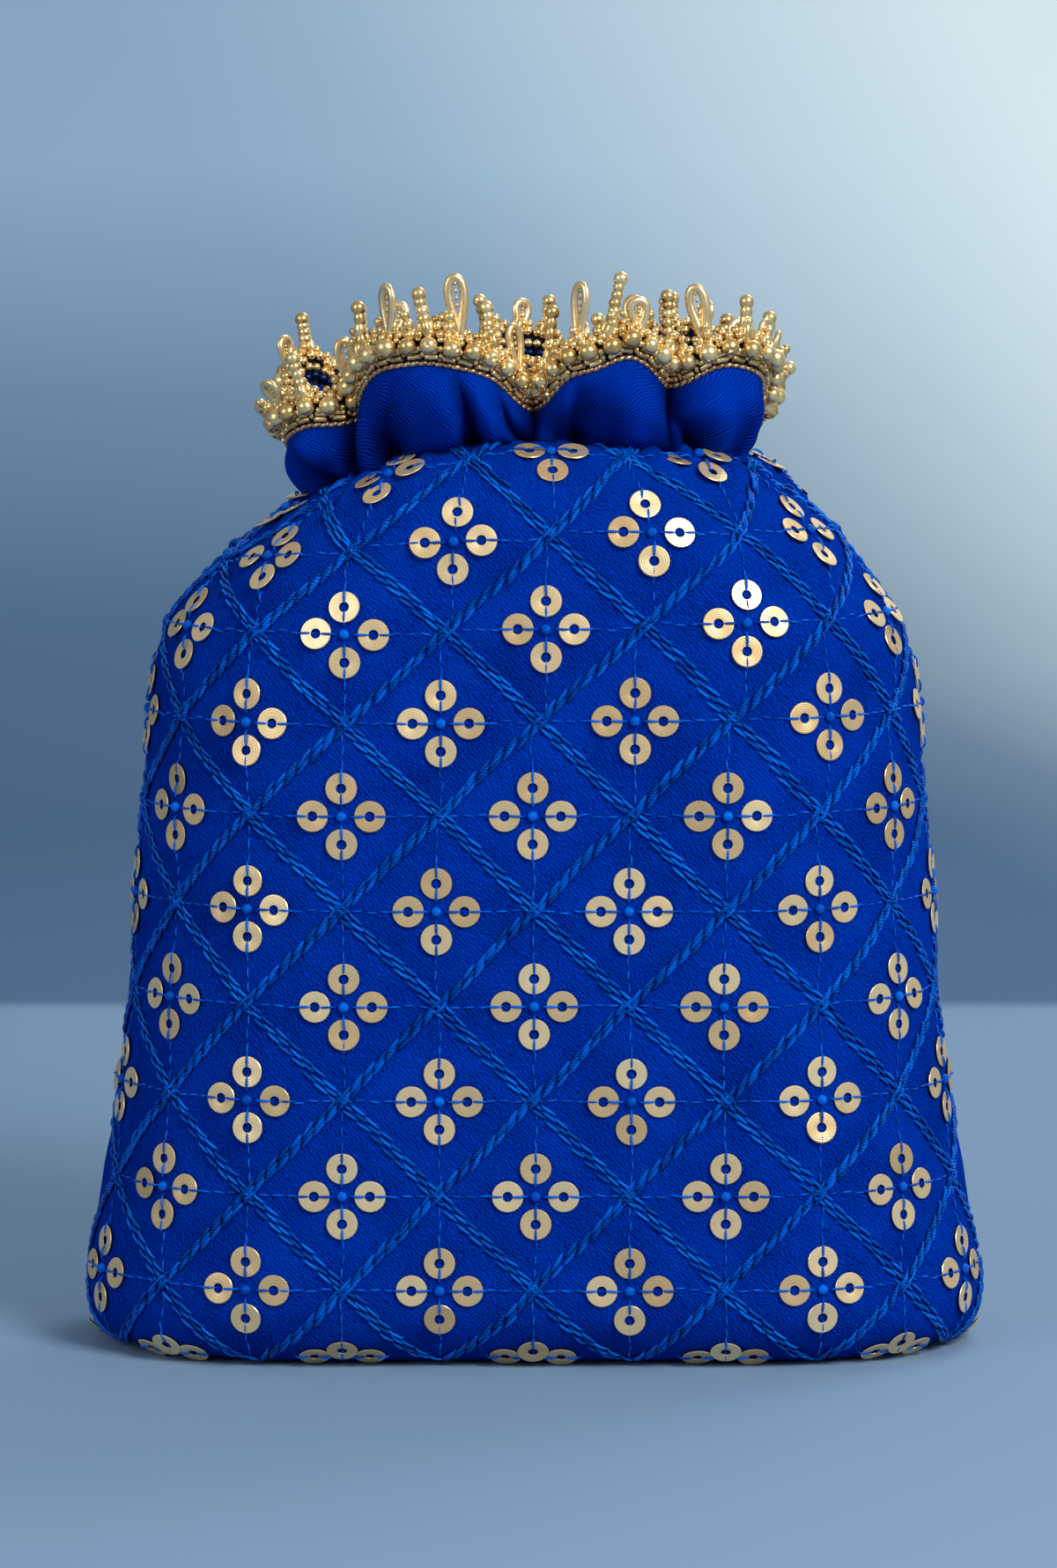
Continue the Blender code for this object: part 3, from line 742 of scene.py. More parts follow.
def make_sequins(name, side):
    """Ring sequins, four to a flower, each tipped a little its own way."""
    s, t = flowers()
    ways = np.array(FOUR_WAYS)
    cs = (s[:, None] + ways[:, 0] * SEQUIN_OFFSET).ravel()
    ct = (t[:, None] + ways[:, 1] * SEQUIN_OFFSET).ravel()
    cs, ct, keep = sequin_places(cs, ct)
    cs, ct = cs[keep], ct[keep]
    profile = (
        (SEQUIN_HOLE, 0.00005),
        (SEQUIN_HOLE, 0.00022),
        (SEQUIN_RADIUS * 0.6, 0.00030),
        (SEQUIN_RADIUS * 0.97, 0.00028),
        (SEQUIN_RADIUS, 0.00015),
        (SEQUIN_RADIUS * 0.97, 0.00002),
    )
    points, faces = ring_form(profile[::-1], SEQUIN_STEPS)
    uv = np.stack((np.hypot(points[:, 0], points[:, 1]), np.zeros(len(points))), axis=-1)
    origins, axes = on_frames(cs, ct, SEQUIN_RISE, side)
    upward = SEQUIN_TIP * np.clip((ct - SEQUIN_TIP_START) / SEQUIN_TIP_LENGTH, 0, 1)[:, None]
    out = unit(axes[:, 2] + upward * axes[:, 1])
    axes = np.stack((axes[:, 0], np.cross(out, axes[:, 0]), out), axis=1)
    return scatter(name, (points, faces, uv), origins, tilted(axes, 0.035), SEQUIN, sharp=50)


def stitch(name, places, rise, side, form, spread):
    """Stitches as one piece, from groups of places with the way that each group points."""
    s, t, way = (np.concatenate(part) for part in zip(*places))
    origins, axes = on_frames(s, t, rise, side)
    axes = turned(axes, way + rng.normal(0, spread, len(way)))
    return scatter(name, form, origins, axes, FINE)


def make_sequin_threads(name, side):
    """Stitches over each sequin: one from its hole to the flower's middle, one to the outside."""
    s, t = flowers()
    places = []
    for ds, dt in FOUR_WAYS:
        for shift in (-STITCH_SHIFT, STITCH_SHIFT):
            cs, ct, keep = sequin_places(s + ds * SEQUIN_OFFSET, t + dt * SEQUIN_OFFSET)
            cs, ct = cs + ds * shift, ct + dt * shift
            places.append((cs[keep], ct[keep], np.full(keep.sum(), math.atan2(dt, ds))))
    return stitch(name, places, 0.0001, side, thread_form(*SEQUIN_STITCH), 0.03)


def make_knots(name, side):
    """A knot in the middle of each flower: a ball pressed flat, wound by the thread's strands."""
    s, t = flowers()
    keep = kept(s, t, margin=0.002)
    origins, axes = on_frames(s[keep], t[keep], 0.0006, side)
    points, faces = ball_form(12, 8)
    points = points * (KNOT_RADIUS, KNOT_RADIUS, KNOT_RADIUS * 0.8)
    strand = np.arctan2(points[:, 1], points[:, 0]) * KNOT_STRAND_TURN
    form = (points, faces, np.stack((strand, points[:, 2] * 2), axis=-1))
    return scatter(name, form, origins, turned(axes, rng.uniform(0, 6, keep.sum())), FINE)


def make_running_stitches(name, side):
    """Running stitches from the sequins of a flower out to the crossings, three on each way."""
    s, t = flowers()
    places = []
    for ds, dt in FOUR_WAYS:
        for reach in RUNNING_STITCHES:
            wander = rng.normal(0, 0.00018, (2, len(s)))
            cs = s + ds * reach + dt * wander[0]
            ct = t + dt * reach + ds * wander[1]
            keep = kept(cs, ct, margin=0.002)
            places.append((cs[keep], ct[keep], np.full(keep.sum(), math.atan2(dt, ds))))
    return stitch(name, places, 0.0, side, thread_form(*RUNNING_STITCH, steps=2), 0.08)


def line_places(slope, pitch, across, phase):
    """Places along every stitch line of one slope, a pitch apart, shifted across the line."""
    index = np.arange(-8, 8)[:, None]
    count = int((SHOULDER_END - BASE_START) * math.sqrt(2) / pitch) + 1
    along = (np.arange(count)[None, :] + phase) * pitch
    t = BASE_START + along / math.sqrt(2)
    s = (index + 0.5) * FLOWER_PITCH + slope * (t - FIRST_ROW_HEIGHT)
    t = np.broadcast_to(t, s.shape)
    s, t = s + slope * -across / math.sqrt(2), t + across / math.sqrt(2)
    s, t = laid(s.ravel(), t.ravel())
    keep = kept(s, t, margin=0.0015)
    return s[keep], t[keep]


def make_stitch_lines(name, side, slope, rows, pitch, form, turn, material):
    """Rows of slanting stitches beside each other along the diagonal lines of one slope."""
    places = [line_places(slope, pitch, across, phase) for across, phase in rows]
    s, t = (np.concatenate(part) for part in zip(*places))
    s = s + rng.normal(0, 0.00012, len(s))
    t = t + rng.normal(0, 0.00012, len(t))
    origins, axes = on_frames(s, t, 0.0001, side, slope)
    angle = turn + rng.normal(0, 0.05, len(s))
    return scatter(name, form, origins, turned(axes, angle), material)


def make_crossings(name, side):
    """Three tying stitches over each crossing of the lines: two side by side and one across."""
    s, t = pattern_middles(1)
    keep = kept(s, t, margin=0.003)
    shift = np.repeat((-TIE_HALF_GAP, TIE_HALF_GAP, 0.0), keep.sum())
    angle = math.pi / 4 * np.repeat((1, 1, -1), keep.sum())
    s, t = np.tile(s[keep], 3), np.tile(t[keep], 3)
    origins, axes = on_frames(s - shift * 0.7, t + shift * 0.7, 0.0005, side)
    form = thread_form(*TYING_STITCH, steps=6)
    return scatter(name, form, origins, turned(axes, angle + rng.normal(0, 0.06, len(s))), BRAID)


def dress_panel(word, side):
    """All the embroidery on one panel."""
    pieces = [
        make_sequins(f"{word}_sequins", side),
        make_sequin_threads(f"{word}_sequin_threads", side),
        make_knots(f"{word}_flower_knots", side),
        make_running_stitches(f"{word}_running_stitches", side),
        make_stitch_lines(
            f"{word}_braid_lines", side, 1, BRAID_ROWS, BRAID_PITCH, thread_form(*BRAID_STITCH),
            0.16, BRAID,
        ),
        make_stitch_lines(
            f"{word}_long_stitch_lines", side, -1, LONG_ROWS, LONG_PITCH, thread_form(*LONG_STITCH),
            0.13, BRIGHT,
        ),
        make_crossings(f"{word}_tied_crossings", side),
    ]
    return pieces


# The frill

def wrapped(bearing, start=-180):
    """The same bearing within the full turn that begins at start."""
    return (bearing - start) % 360 + start


def stretch_of(bearing, stops):
    """The stretch of a list that a bearing lies in, and how far along it, from 0 to 1."""
    low = np.clip(np.searchsorted(stops, bearing, side="right") - 1, 0, len(stops) - 2)
    return low, (bearing - stops[low]) / (stops[low + 1] - stops[low])


def lobe_swell(bearing):
    """0 in a fold of the frill and 1 on the crest of a lobe, along a sine from fold to fold."""
    _, share = stretch_of(wrapped(bearing, FOLD_BEARINGS[0]), FOLD_BEARINGS)
    return np.sin(math.pi * np.clip(share, 0, 1))


def rim_slack(bearing):
    """How far the rim hangs below its level: a smoothstep from each listed bearing to the next."""
    stops, slack = RIM_SLACK.T
    low, share = stretch_of(wrapped(bearing), stops)
    return slack[low] + (slack[low + 1] - slack[low]) * smooth(share)


def neck_foot(bearing):
    """Foot of the frill on the gathered neck, and the level direction outwards."""
    bearing = wrapped(bearing, -90)
    side = np.where(bearing < 90, 1, -1)
    t = np.full_like(bearing, SHOULDER_END)
    s = seam_distance(t) * (bearing - 90 + 90 * side) / 90
    span = body_point(s + AXIS_STEP, t, side) - body_point(s - AXIS_STEP, t, side)
    outward = unit(np.stack((span[:, 1], -span[:, 0], np.zeros(len(s))), axis=-1))
    return body_point(s, t, side) - outward * (CLOTH / 2 + SEAM_GAP), outward


def frill_fullness(bearing):
    """How full the frill stands out: full at the front and back, less where it turns at the side
    seams, by a bell curve round each."""
    full = 1.0
    for middle, reach, amount in SIDE_NARROWING:
        full = full - amount * np.exp(-((wrapped(bearing - middle) / reach) ** 2))
    return full


def frill_folds(bearing, v):
    """How deep the sharp folds are: 1 along their bottoms, 0 on the crests between, from the
    magnitude of a sine of the bearing whose phase drifts as the folds rise."""
    turn = np.radians(bearing)
    bend = 8.5 * turn + 0.9 * np.sin(turn * 4 + 1) + 0.5 * np.sin(turn * 7 + 3 * v)
    return (1 - np.abs(np.sin(bend + 0.9 * v))) ** FOLD_SHARPNESS


def frill_painted_shade(bearing, v):
    """Painted shade for the cloth's colour: deep in the folds, deepest at their foot, and between
    the lobes.
    """
    deep = 1.15 * frill_folds(bearing, v) * (1 - v) ** 0.8
    between = (1 - lobe_swell(bearing)) ** 3 * (1 - 0.3 * v)
    return np.clip(np.maximum(deep, between), 0, 1)


def frill_rim(bearing, swell, foot):
    """Height of the rim: its level, less the drops at the sides, between lobes, at the left and
    where it hangs slack."""
    side_drop = FRILL_SIDE_DROP * np.sin(np.radians(bearing)) ** FRILL_SIDE_NARROWNESS
    valley_drop = FRILL_VALLEY_DROP * (1 - swell**3.2) ** 2.5
    left_drop = LEFT_SAG * np.clip(-foot[:, 0] / FRILL_LEFT_REACH, 0, 1) ** 2
    return FRILL_RIM_HEIGHT - side_drop - valley_drop - rim_slack(bearing) - left_drop


def frill_point(bearing, v):
    """The frill: v runs from the neck seam to the rim. Its flare grows with v and with the swell
    of the lobes, and a belly bulges half way up. Gathers start deep at the seam and die out
    upwards, and two or three sharp folds pinch each lobe; both follow sines of the bearing that
    drift in phase. Where it turns at the side seams it is tucked in below its rim."""
    swell = lobe_swell(bearing) ** LOBE_ROUNDNESS
    foot, outward = neck_foot(bearing)
    turn = np.radians(bearing)
    full = frill_fullness(bearing)
    past_seam = np.minimum(1, v * 7)
    flare = FRILL_VALLEY_FLARE + (FRILL_LOBE_FLARE - FRILL_VALLEY_FLARE) * swell
    belly = FRILL_BELLY * swell * np.sin(math.pi * v**1.05)
    gather = np.sin(turn * GATHER_COUNT + 1.8 * np.sin(turn * 5) + 1.2 * v)
    gather = GATHER_DEPTH * (1 - v) ** 1.2 * gather * np.minimum(1, v * 8)
    crease = FOLD_DEPTH * (0.3 - frill_folds(bearing, v)) * past_seam
    crease = crease * np.clip(1 - v, 0, 1) ** 0.9 * full * (0.45 + 0.55 * swell)
    ripple = RIPPLE_DEPTH * np.sin(turn * RIPPLE_COUNT + 2.0 + 2 * v) * v * (1 - v) * 4
    tuck = SIDE_TUCK * (1 - full) * past_seam * (1 - v)
    out = (flare * v + belly) * full + gather + crease + ripple - tuck
    level = foot + outward * out[:, None]
    low = foot[:, 2] - FRILL_FOOT_DROP
    high = frill_rim(bearing, swell, foot)
    return np.stack((level[:, 0], level[:, 1], low + (high - low) * v), axis=-1)


def make_frill():
    """The frill as a sheet round the neck, closed into a ring, with the cloth's thickness."""
    rows, columns = FRILL_GRID
    bearing = np.tile(np.arange(columns) * 360 / columns, rows)
    v = np.repeat(np.linspace(0, 1, rows), columns)
    points = frill_point(bearing, v)
    faces = grid_quads(rows, columns, ring=True)
    uv = np.stack((np.abs(bearing / 180 - 1) * FRILL_HALF_ROUND, v * FRILL_FLAT_HEIGHT), axis=-1)
    # the frill's tone is painted shade in its folds and between its lobes
    item = add_mesh("frill_cloth", points, faces, PLAIN, uv, tone=frill_painted_shade(bearing, v))
    thicken(item, 0)
    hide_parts("frill")


# The beaded trim

def rim_path():
    """The frill's rim as a closed line: bearings, points, outward directions, length along it."""
    bearing = np.arange(RIM_SAMPLES) * 360 / RIM_SAMPLES
    line = frill_point(bearing, np.ones(RIM_SAMPLES))
    outward = neck_foot(bearing)[1]
    steps = np.linalg.norm(np.roll(line, -1, axis=0) - line, axis=1)
    return bearing, line, outward, np.concatenate(([0], np.cumsum(steps)))


RIM_BEARING, RIM_LINE, RIM_OUTWARD, RIM_LENGTH = rim_path()
RIM_ROUND = RIM_LENGTH[-1]


def read_rim(values, place):
    """Values of the rim's points, read at places along it."""
    closed = np.vstack((values, values[:1]))
    place = place % RIM_ROUND
    return np.stack([np.interp(place, RIM_LENGTH, closed[:, k]) for k in range(3)], axis=-1)


def rim_frames(place, rise, out):
    """Origins and axes on the trim: along the rim, up the leaning trim, and outwards."""
    place = np.asarray(place, float) % RIM_ROUND
    along = unit(read_rim(RIM_LINE, place + RIM_STEP) - read_rim(RIM_LINE, place - RIM_STEP))
    lean = unit(UPWARD + TRIM_LEAN * unit(read_rim(RIM_OUTWARD, place)))
    facing = unit(np.cross(along, lean))
    origin = read_rim(RIM_LINE, place)
    origin = origin + lean * np.reshape(rise, (-1, 1)) + facing * np.reshape(out, (-1, 1))
    return origin, np.stack((along, np.cross(facing, along), facing), axis=-2)


def make_net_band():
    """Dark net band behind the beads: a strip that follows the rim, closed into a ring."""
    rows, columns = len(NET_SECTION), NET_COLUMNS
    place = np.arange(columns) * RIM_ROUND / columns
    points = np.concatenate([rim_frames(place, rise, out)[0] for rise, out in NET_SECTION])
    rises = np.repeat([rise for rise, _ in NET_SECTION], columns)
    uv = np.stack((np.tile(np.abs(place - RIM_ROUND / 2), rows), rises), axis=-1)
    faces = grid_quads(rows, columns, ring=True, closed=True)
    item = add_mesh("rim_net_band", points, faces, NET, uv, sharp=50)
    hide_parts("rim_net")


def spaced(pitch):
    """Even places round the rim, about a pitch apart."""
    count = int(round(RIM_ROUND / pitch))
    return np.arange(count) * RIM_ROUND / count


def tube_form(half_length, radius):
    """A tube bead lying along its first axis, with rounded ends."""
    sides = 8
    ends = ((-1.0, 0.55), (-0.93, 0.9), (-0.75, 1.0), (0.75, 1.0), (0.93, 0.9), (1.0, 0.55))
    end, width = np.array(ends).T
    turn = np.tile(round_turns(sides), len(ends))
    x, size = np.repeat(end * half_length, sides), np.repeat(width * radius, sides)
    points = np.stack((x, size * np.cos(turn), size * np.sin(turn)), axis=-1)
    return points, flipped(capped_faces(len(ends), sides))


def scaled(form, x, y, z):
    return (form[0] * (x, y, z), *form[1:])


def nest(form, other):
    """Two forms as one."""
    shift = len(form[0])
    faces = form[1] + [[i + shift for i in face] for face in other[1]]
    return np.vstack((form[0], other[0])), faces


def ball_at(level, radius):
    """A small ball at a height along its second axis."""
    points, faces = ball_form(9, 6)
    return points * radius + (0, level, 0), faces


def drilled_ball(radius):
    """A round bead whose drilled hole shows: a ball with a dimple in its third axis."""
    points, faces = ball_form(14, 9)
    near_hole = np.hypot(points[:, 0], points[:, 1]) < 0.30
    points = np.where(near_hole[:, None], points * (1, 1, 0.62), points)
    return points * radius, faces


def make_row(
    name, form, place, rise, out, spread, material=GOLD, node=None, turns=0.0, sizes=0.05, tip=0.12
):
    """One row of beads round the rim; rise, outward place, size and turn vary a little."""
    count = len(place)
    rise = rise + rng.normal(0, spread, count)
    out = out + rng.normal(0, spread, count)
    origins, axes = rim_frames(place + rng.normal(0, spread, count), rise, out)
    axes = tilted(turned(axes, rng.normal(0, turns, count)), tip)
    axes = axes * (1 + rng.normal(0, sizes, count))[:, None, None]
    row = scatter(name, form, origins, axes, material, sharp=60)
    if node:
        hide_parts(node)
    return row


def make_bead_rows():
    """The rows of the trim, from the piping up to the seed beads, and those on its inside."""
    dot, bead, large_bead = ball_form(8, 5), ball_form(9, 6), ball_form(14, 9)
    place = spaced(PIPING_PITCH)
    rope = scaled(dot, 0.00135, PIPING_RADIUS * 0.9, PIPING_RADIUS)
    origins, axes = rim_frames(place, PIPING_RISE, 0.0003)
    axes = turned(axes, np.full(len(place), 0.25))
    piping = scatter("twisted_piping", rope, origins, axes, BRONZE)
    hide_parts("rim_piping")

    place = spaced(TUBE_PITCH)
    tube, tube_faces = tube_form(TUBE_HALF_LENGTH, TUBE_RADIUS)
    lower = (tube + (0, -TUBE_RADIUS, 0.0001), tube_faces)
    upper = (tube * (0.92, 0.9, 0.9) + (0, TUBE_RADIUS, 0), tube_faces)
    make_row(
        "tube_beads", nest(lower, upper), place, TUBE_RISE, 0.0008, 0.0001,
        node="bugle_bead_row", turns=0.1, sizes=0.04, tip=0.05,
    )
    small = scaled(dot, 0.00062, 0.00075, 0.0006)
    make_row("tube_row_dots", small, place + place[1] / 2, TUBE_RISE, 0.0008, 0.0001)
    small = scaled(dot, 0.0005, 0.0005, 0.0005)
    make_row("bronze_dots", small, spaced(DOT_PITCH), 0.0019, 0.0006, 0.00012, BRONZE)

    place = spaced(ROUND_PITCH)
    whole = rng.uniform(0, 1, len(place)) < ROUND_SHARE
    make_row(
        "round_beads", scaled(large_bead, ROUND_RADIUS, ROUND_RADIUS * 0.97, ROUND_RADIUS),
        place[whole], ROUND_RISE, ROUND_OUT, 0.00014,
        node="round_bead_row", turns=0.4, sizes=0.06, tip=0.3,
    )
    make_row(
        "drilled_beads", drilled_ball(ROUND_RADIUS * 0.98), place[~whole], ROUND_RISE, ROUND_OUT,
        0.00014, turns=0.5, sizes=0.06, tip=0.35,
    )
    small = scaled(dot, 0.00078, 0.00078, 0.0007)
    for name, rise, out in (("low_dots", -0.0010, 0.0015), ("high_dots", 0.0012, 0.0014)):
        middles = place + place[1] / 2
        make_row(name, small, middles, ROUND_RISE + rise, out, 0.0001, turns=0.5, sizes=0.1)

    seed = scaled(bead, SEED_RADIUS, SEED_RADIUS, SEED_RADIUS * 1.1)
    make_row(
        "seed_beads", seed, spaced(SEED_PITCH), SEED_RISE + 0.0004, 0.0012, 0.0001,
        node="seed_bead_row", turns=3, sizes=0.08, tip=0.2,
    )
    make_row(
        "upper_seed_beads", seed, spaced(UPPER_SEED_PITCH), SEED_RISE + 0.0014, -0.0002,
        0.0002, turns=3, sizes=0.12, tip=0.4,
    )
    stack = nest(nest(ball_at(0.0, 0.00125), ball_at(0.0021, 0.0012)), ball_at(0.0040, 0.00105))
    place = spaced(RIM_ROUND / UPRIGHT_COUNT / STACKS_PER_UPRIGHT)
    make_row(
        "short_stacks", stack, place, TRIM_TOP - 0.0006, 0.0003, 0.0004,
        turns=0.22, sizes=0.12, tip=0.2,
    )
    small, place = scaled(bead, 0.0010, 0.0010, 0.0009), spaced(INNER_BLUE_PITCH)
    rise = TUBE_RISE - 0.0010
    inner = make_row("inner_blue_beads", small, place, rise, -0.0014, 0.0002, BLUE_BEAD)
    small, place = scaled(bead, 0.00105, 0.00105, 0.0010), spaced(INNER_LOW_PITCH)
    make_row("inner_low_beads", small, place, ROUND_RISE - 0.0012, -0.0013, 0.0002)
    place = spaced(INNER_HIGH_PITCH)
    make_row("inner_high_beads", small, place, SEED_RISE - 0.0008, -0.0012, 0.0003)


def teardrop_form(width, height, band, thickness):
    """A flat teardrop loop: a rounded band carried round a drop whose point is its foot."""
    steps = 28
    turn = round_turns(steps)
    x = width / 2 * np.sin(turn) * np.sin(turn / 2) ** 2 * 1.54
    z = height / 2 * (1 - np.cos(turn))
    line = np.stack((x, np.zeros(steps), z), axis=-1)
    along = unit(np.roll(line, -1, axis=0) - np.roll(line, 1, axis=0))
    side = np.cross(along, (0.0, 1.0, 0.0))
    half = ((1, 0.3), (0.5, 1), (-0.5, 1), (-1, 0.3))
    section = half + tuple((-a, -b) for a, b in half)
    thick = np.array((0, thickness / 2, 0))
    rings = [line + side * a * band / 2 + b * thick for a, b in section]
    faces = grid_quads(len(section), steps, ring=True, closed=True).tolist()
    return np.concatenate(rings), flipped(faces)


# Lean to the right, lean forwards, and height of the uprights that the photo shows, by their
# number round the rim; the others lean at random
SEEN_UPRIGHTS = {
    30: (-0.90, 0.25, 0.60),
    31: (-0.70, 0.30, 1.00),
    32: (-1.30, 0.30, 0.60),
    33: (-0.60, 0.25, 0.75),
    34: (-0.32, 0.10, 0.95),
    35: (-0.22, 0.05, 1.20),
    36: (-0.07, 0.05, 1.12),
    37: (-0.05, 0.05, 1.20),
    38: (-0.20, 0.05, 0.95),
    39: (-0.10, 0.00, 1.45),
    40: (-0.10, 0.05, 0.95),
    41: (-0.15, 0.05, 1.15),
    0: (0.08, 0.05, 1.35),
    1: (0.06, 0.05, 1.40),
    2: (0.22, 0.05, 1.29),
    3: (-0.05, 0.10, 0.75),
    4: (0.00, 0.05, 1.35),
    5: (-0.20, 0.00, 1.35),
    6: (0.02, 0.10, 0.85),
    7: (-0.02, 0.20, 0.65),
    8: (0.60, 0.20, 0.60),
    9: (0.55, 0.30, 0.75),
    10: (1.20, 0.20, 0.55),
}


def upright_axes(index):
    """Foot and axes of one upright: it stands on the trim and leans its own way."""
    bearing = 360 * (index + 0.5) / UPRIGHT_COUNT
    place = np.interp(bearing, RIM_BEARING, RIM_LENGTH[:-1])
    origin, axes = rim_frames([place], TRIM_TOP - 0.0012, 0.0004)
    along, _, facing = axes[0]
    if index in SEEN_UPRIGHTS:
        right, forward, height = SEEN_UPRIGHTS[index]
        upright = unit(np.array((right, -forward, 1.0)))
    else:
        lean, tip, height = rng.normal(0, 0.14), rng.uniform(0.1, 0.3), rng.uniform(0.7, 0.95)
        upright = unit(UPWARD + lean * along + tip * facing)
    across = unit(along - upright * np.dot(along, upright))
    return origin[0], np.stack((across, np.cross(upright, across), upright)), height


def bead_stack(beads, steps=12, rings=8):
    """Balls and drops as one form, each given by its middle, half width, half height and lean.
    Gives points, faces and the number of points of one ball."""
    ball, ball_faces = ball_form(steps, rings)
    points, faces = [], []
    for x, y, z, width, tall, lean in beads:
        form = ball * (width, width, tall)
        faces += [[i + len(ball) * len(points) for i in face] for face in ball_faces]
        points.append(form + form[:, 2:3] * np.array((-lean, 0, 0)) + (x, y, z))
    return np.concatenate(points), faces, len(ball)


def make_bead_string(index, number):
    """A string of beads standing up: long drops round its foot, balls above, the largest at its
    tip. Every third one is built of drops instead of balls, and every fourth has three beads at
    its side."""
    origin, axes, height = upright_axes(index)
    beads = []
    for turn in rng.uniform(0, 1) + round_turns(3):
        x, y = 0.0013 * math.cos(turn), 0.0011 * math.sin(turn)
        beads.append((x, y, 0.0021, 0.00115, 0.0023, x * 190))
    radius, stretch = (0.00142, 1.5) if index % 3 == 0 else (0.00152, 1.0)
    length = UPRIGHT_HEIGHT * height - STRING_FOOT
    balls = max(1, math.ceil(length / (radius * stretch * 1.5)))
    level = STRING_FOOT
    for k in range(balls):
        width = radius * (1.04 - 0.05 * k)
        x, y = rng.normal(0, 0.00012), rng.normal(0, 0.00012)
        beads.append((x, y, level, width, width * stretch, 0.0))
        level += length / balls
    beads.append((0.0, 0.0, level, 0.00165, 0.00165, 0.0))
    if number % 4 == 1:
        beads += [(0.0022, 0.0003, 0.0035 + 0.0019 * k, 0.00105, 0.0011, 0.0) for k in range(3)]
    points, faces, count = bead_stack(beads)
    tone = np.repeat(rng.uniform(0, 1, len(beads)), count)
    item = add_mesh(f"gold_string_{number:02d}", origin + points @ axes, faces, GOLD, tone=tone)
    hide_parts(f"bead_string_{number:02d}")


def make_teardrop(index, number):
    """A teardrop loop of pale gold, with small beads in its slot and drops at its foot."""
    origin, axes, height = upright_axes(index)
    turn = rng.normal(0, 0.35)
    c, s = math.cos(turn), math.sin(turn)
    spin = np.array(((c, s, 0), (-s, c, 0), (0, 0, 1)))
    loop, loop_faces = teardrop_form(0.0035, 0.0098 * height, 0.0019, 0.0014)
    beads = [(0, 0, (0.0058 + 0.0011 * k) * height, 0.00036, 0.0005, 0) for k in range(4)]
    beads += [
        (0.0009, 0.0005, 0.0016, 0.0009, 0.0019, 0.1),
        (-0.0009, -0.0004, 0.0014, 0.0009, 0.0017, -0.1),
    ]
    drops = bead_stack(beads, 10, 6)
    points, faces = nest((loop + (0, 0, 0.0004), loop_faces), drops)
    tone = np.concatenate((np.full(len(loop), rng.uniform(0.4, 1)), np.zeros(len(drops[0]))))
    points = origin + points @ spin @ axes
    item = add_mesh(f"pale_loop_{number:02d}", points, faces, PALE_GOLD, tone=tone)
    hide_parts(f"teardrop_loop_{number:02d}")


# Inside and underside

def make_lining():
    """The padded lining: the body's surface moved inwards, outer and inner face, with a floor."""
    rows, columns = LINING_GRID
    t = np.linspace(BASE_START, SHOULDER_END, rows)
    outer = CLOTH + SEAM_GAP
    rings = []
    for depth, levels in ((outer, t), (outer + LINING, t[::-1])):
        for level in levels:
            for side in (1, -1):
                s = seam_distance(level) - SEAM_GAP / 2
                s = (2 * np.arange(columns) / columns - 1) * s
                height = np.full(columns, level)
                out = body_axes(s, height, side)[..., 2, :]
                rings.append(body_point(s, height, side) - out * depth)
    points = np.concatenate(rings)
    faces = capped_faces(2 * rows, 2 * columns)
    uv = points[:, (0, 2)]
    item = add_mesh("padded_inner_pouch", points, faces, LINING_CLOTH, uv, sharp=60)
    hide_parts("padded_lining")


def make_base():
    """The flat cloth under the bag: an oval with straight long sides, rounded at its edge. Each
    ring of points is the outline moved in by an inset, at a height."""
    low, high = (np.array(corner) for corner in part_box("base_panel"))
    radius = (high[1] - low[1]) / 2
    straight = (high[0] - low[0]) / 2 - radius
    turn = np.linspace(-math.pi / 2, math.pi / 2, 48)
    x = np.concatenate((straight + radius * np.cos(turn), -straight - radius * np.cos(turn)))
    y = np.concatenate((radius * np.sin(turn), -radius * np.sin(turn)))
    middle = np.sign(x) * straight
    top = high[2]
    rings = []
    for inset, height in (
        (0.03, 0.0), (0.0006, 0.0), (0.0, 0.0003), (0.0, 0.0009), (0.0006, top), (0.03, top)
    ):
        share = 1 - inset / radius
        ring = (middle + (x - middle) * share, y * share, np.full(len(x), height))
        rings.append(np.stack(ring, axis=-1))
    points = np.concatenate(rings)
    faces = capped_faces(len(rings), len(x))
    item = add_mesh("base_cloth", points, faces, PLAIN, points[:, :2], sharp=50)
    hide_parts("base_panel")


# The studio

CAMERA_DISTANCE = 1.5
CAMERA_ELEVATION = math.radians(6.0)
PHOTO_HEIGHT = 0.356
LOOK_AT = Vector((-0.0012, 0.0, 0.1263))
SENSOR = 36.0
FLOOR_END = 1.60
BEND_RADIUS = 0.60
# Colours of the paper, by 0.4 of its depth plus 0.6 of its height; the step near 0.22 is the
# photo's horizon
# The stops that grow paler high on the backdrop are painted light.
PAPER_AND_PAINTED_LIGHT_STOPS = (
    (0.0, (0.175, 0.280, 0.425)),
    (0.2135, (0.170, 0.275, 0.42)),
    (0.2215, (0.052, 0.120, 0.235)),
    (0.42, (0.047, 0.112, 0.225)),
    (0.72, (0.095, 0.18, 0.30)),
    (0.86, (0.19, 0.31, 0.455)),
    (0.98, (0.35, 0.53, 0.71)),
)
# Painted light: a pale pool of light painted on the paper towards the upper right, and the x at
# which it stops growing
PAINTED_GLOW = (0.84, 0.98, 1.0, 1.0)
PAINTED_GLOW_END = 0.3
# Name, place, what it points at, size, power and colour of each lamp
LAMPS = (
    ("key_light", (0.85, -1.15, 1.1), (0, 0, 0.14), (0.7, 0.7), 29.0, (1.0, 0.985, 0.96)),
    ("fill_light", (-1.3, -1.2, 0.8), (0, 0, 0.12), (1.0, 1.0), 8.5, (0.92, 0.96, 1.0)),
    ("rim_light", (0.5, 0.7, 1.2), (0, 0, 0.2), (0.6, 0.4), 4.0, (1.0, 1.0, 1.0)),
    ("backdrop_light", (0.9, 1.0, 1.5), (0.5, 2.1, 0.55), (1.2, 0.6), 9.0, (1.0, 1.0, 1.0)),
)


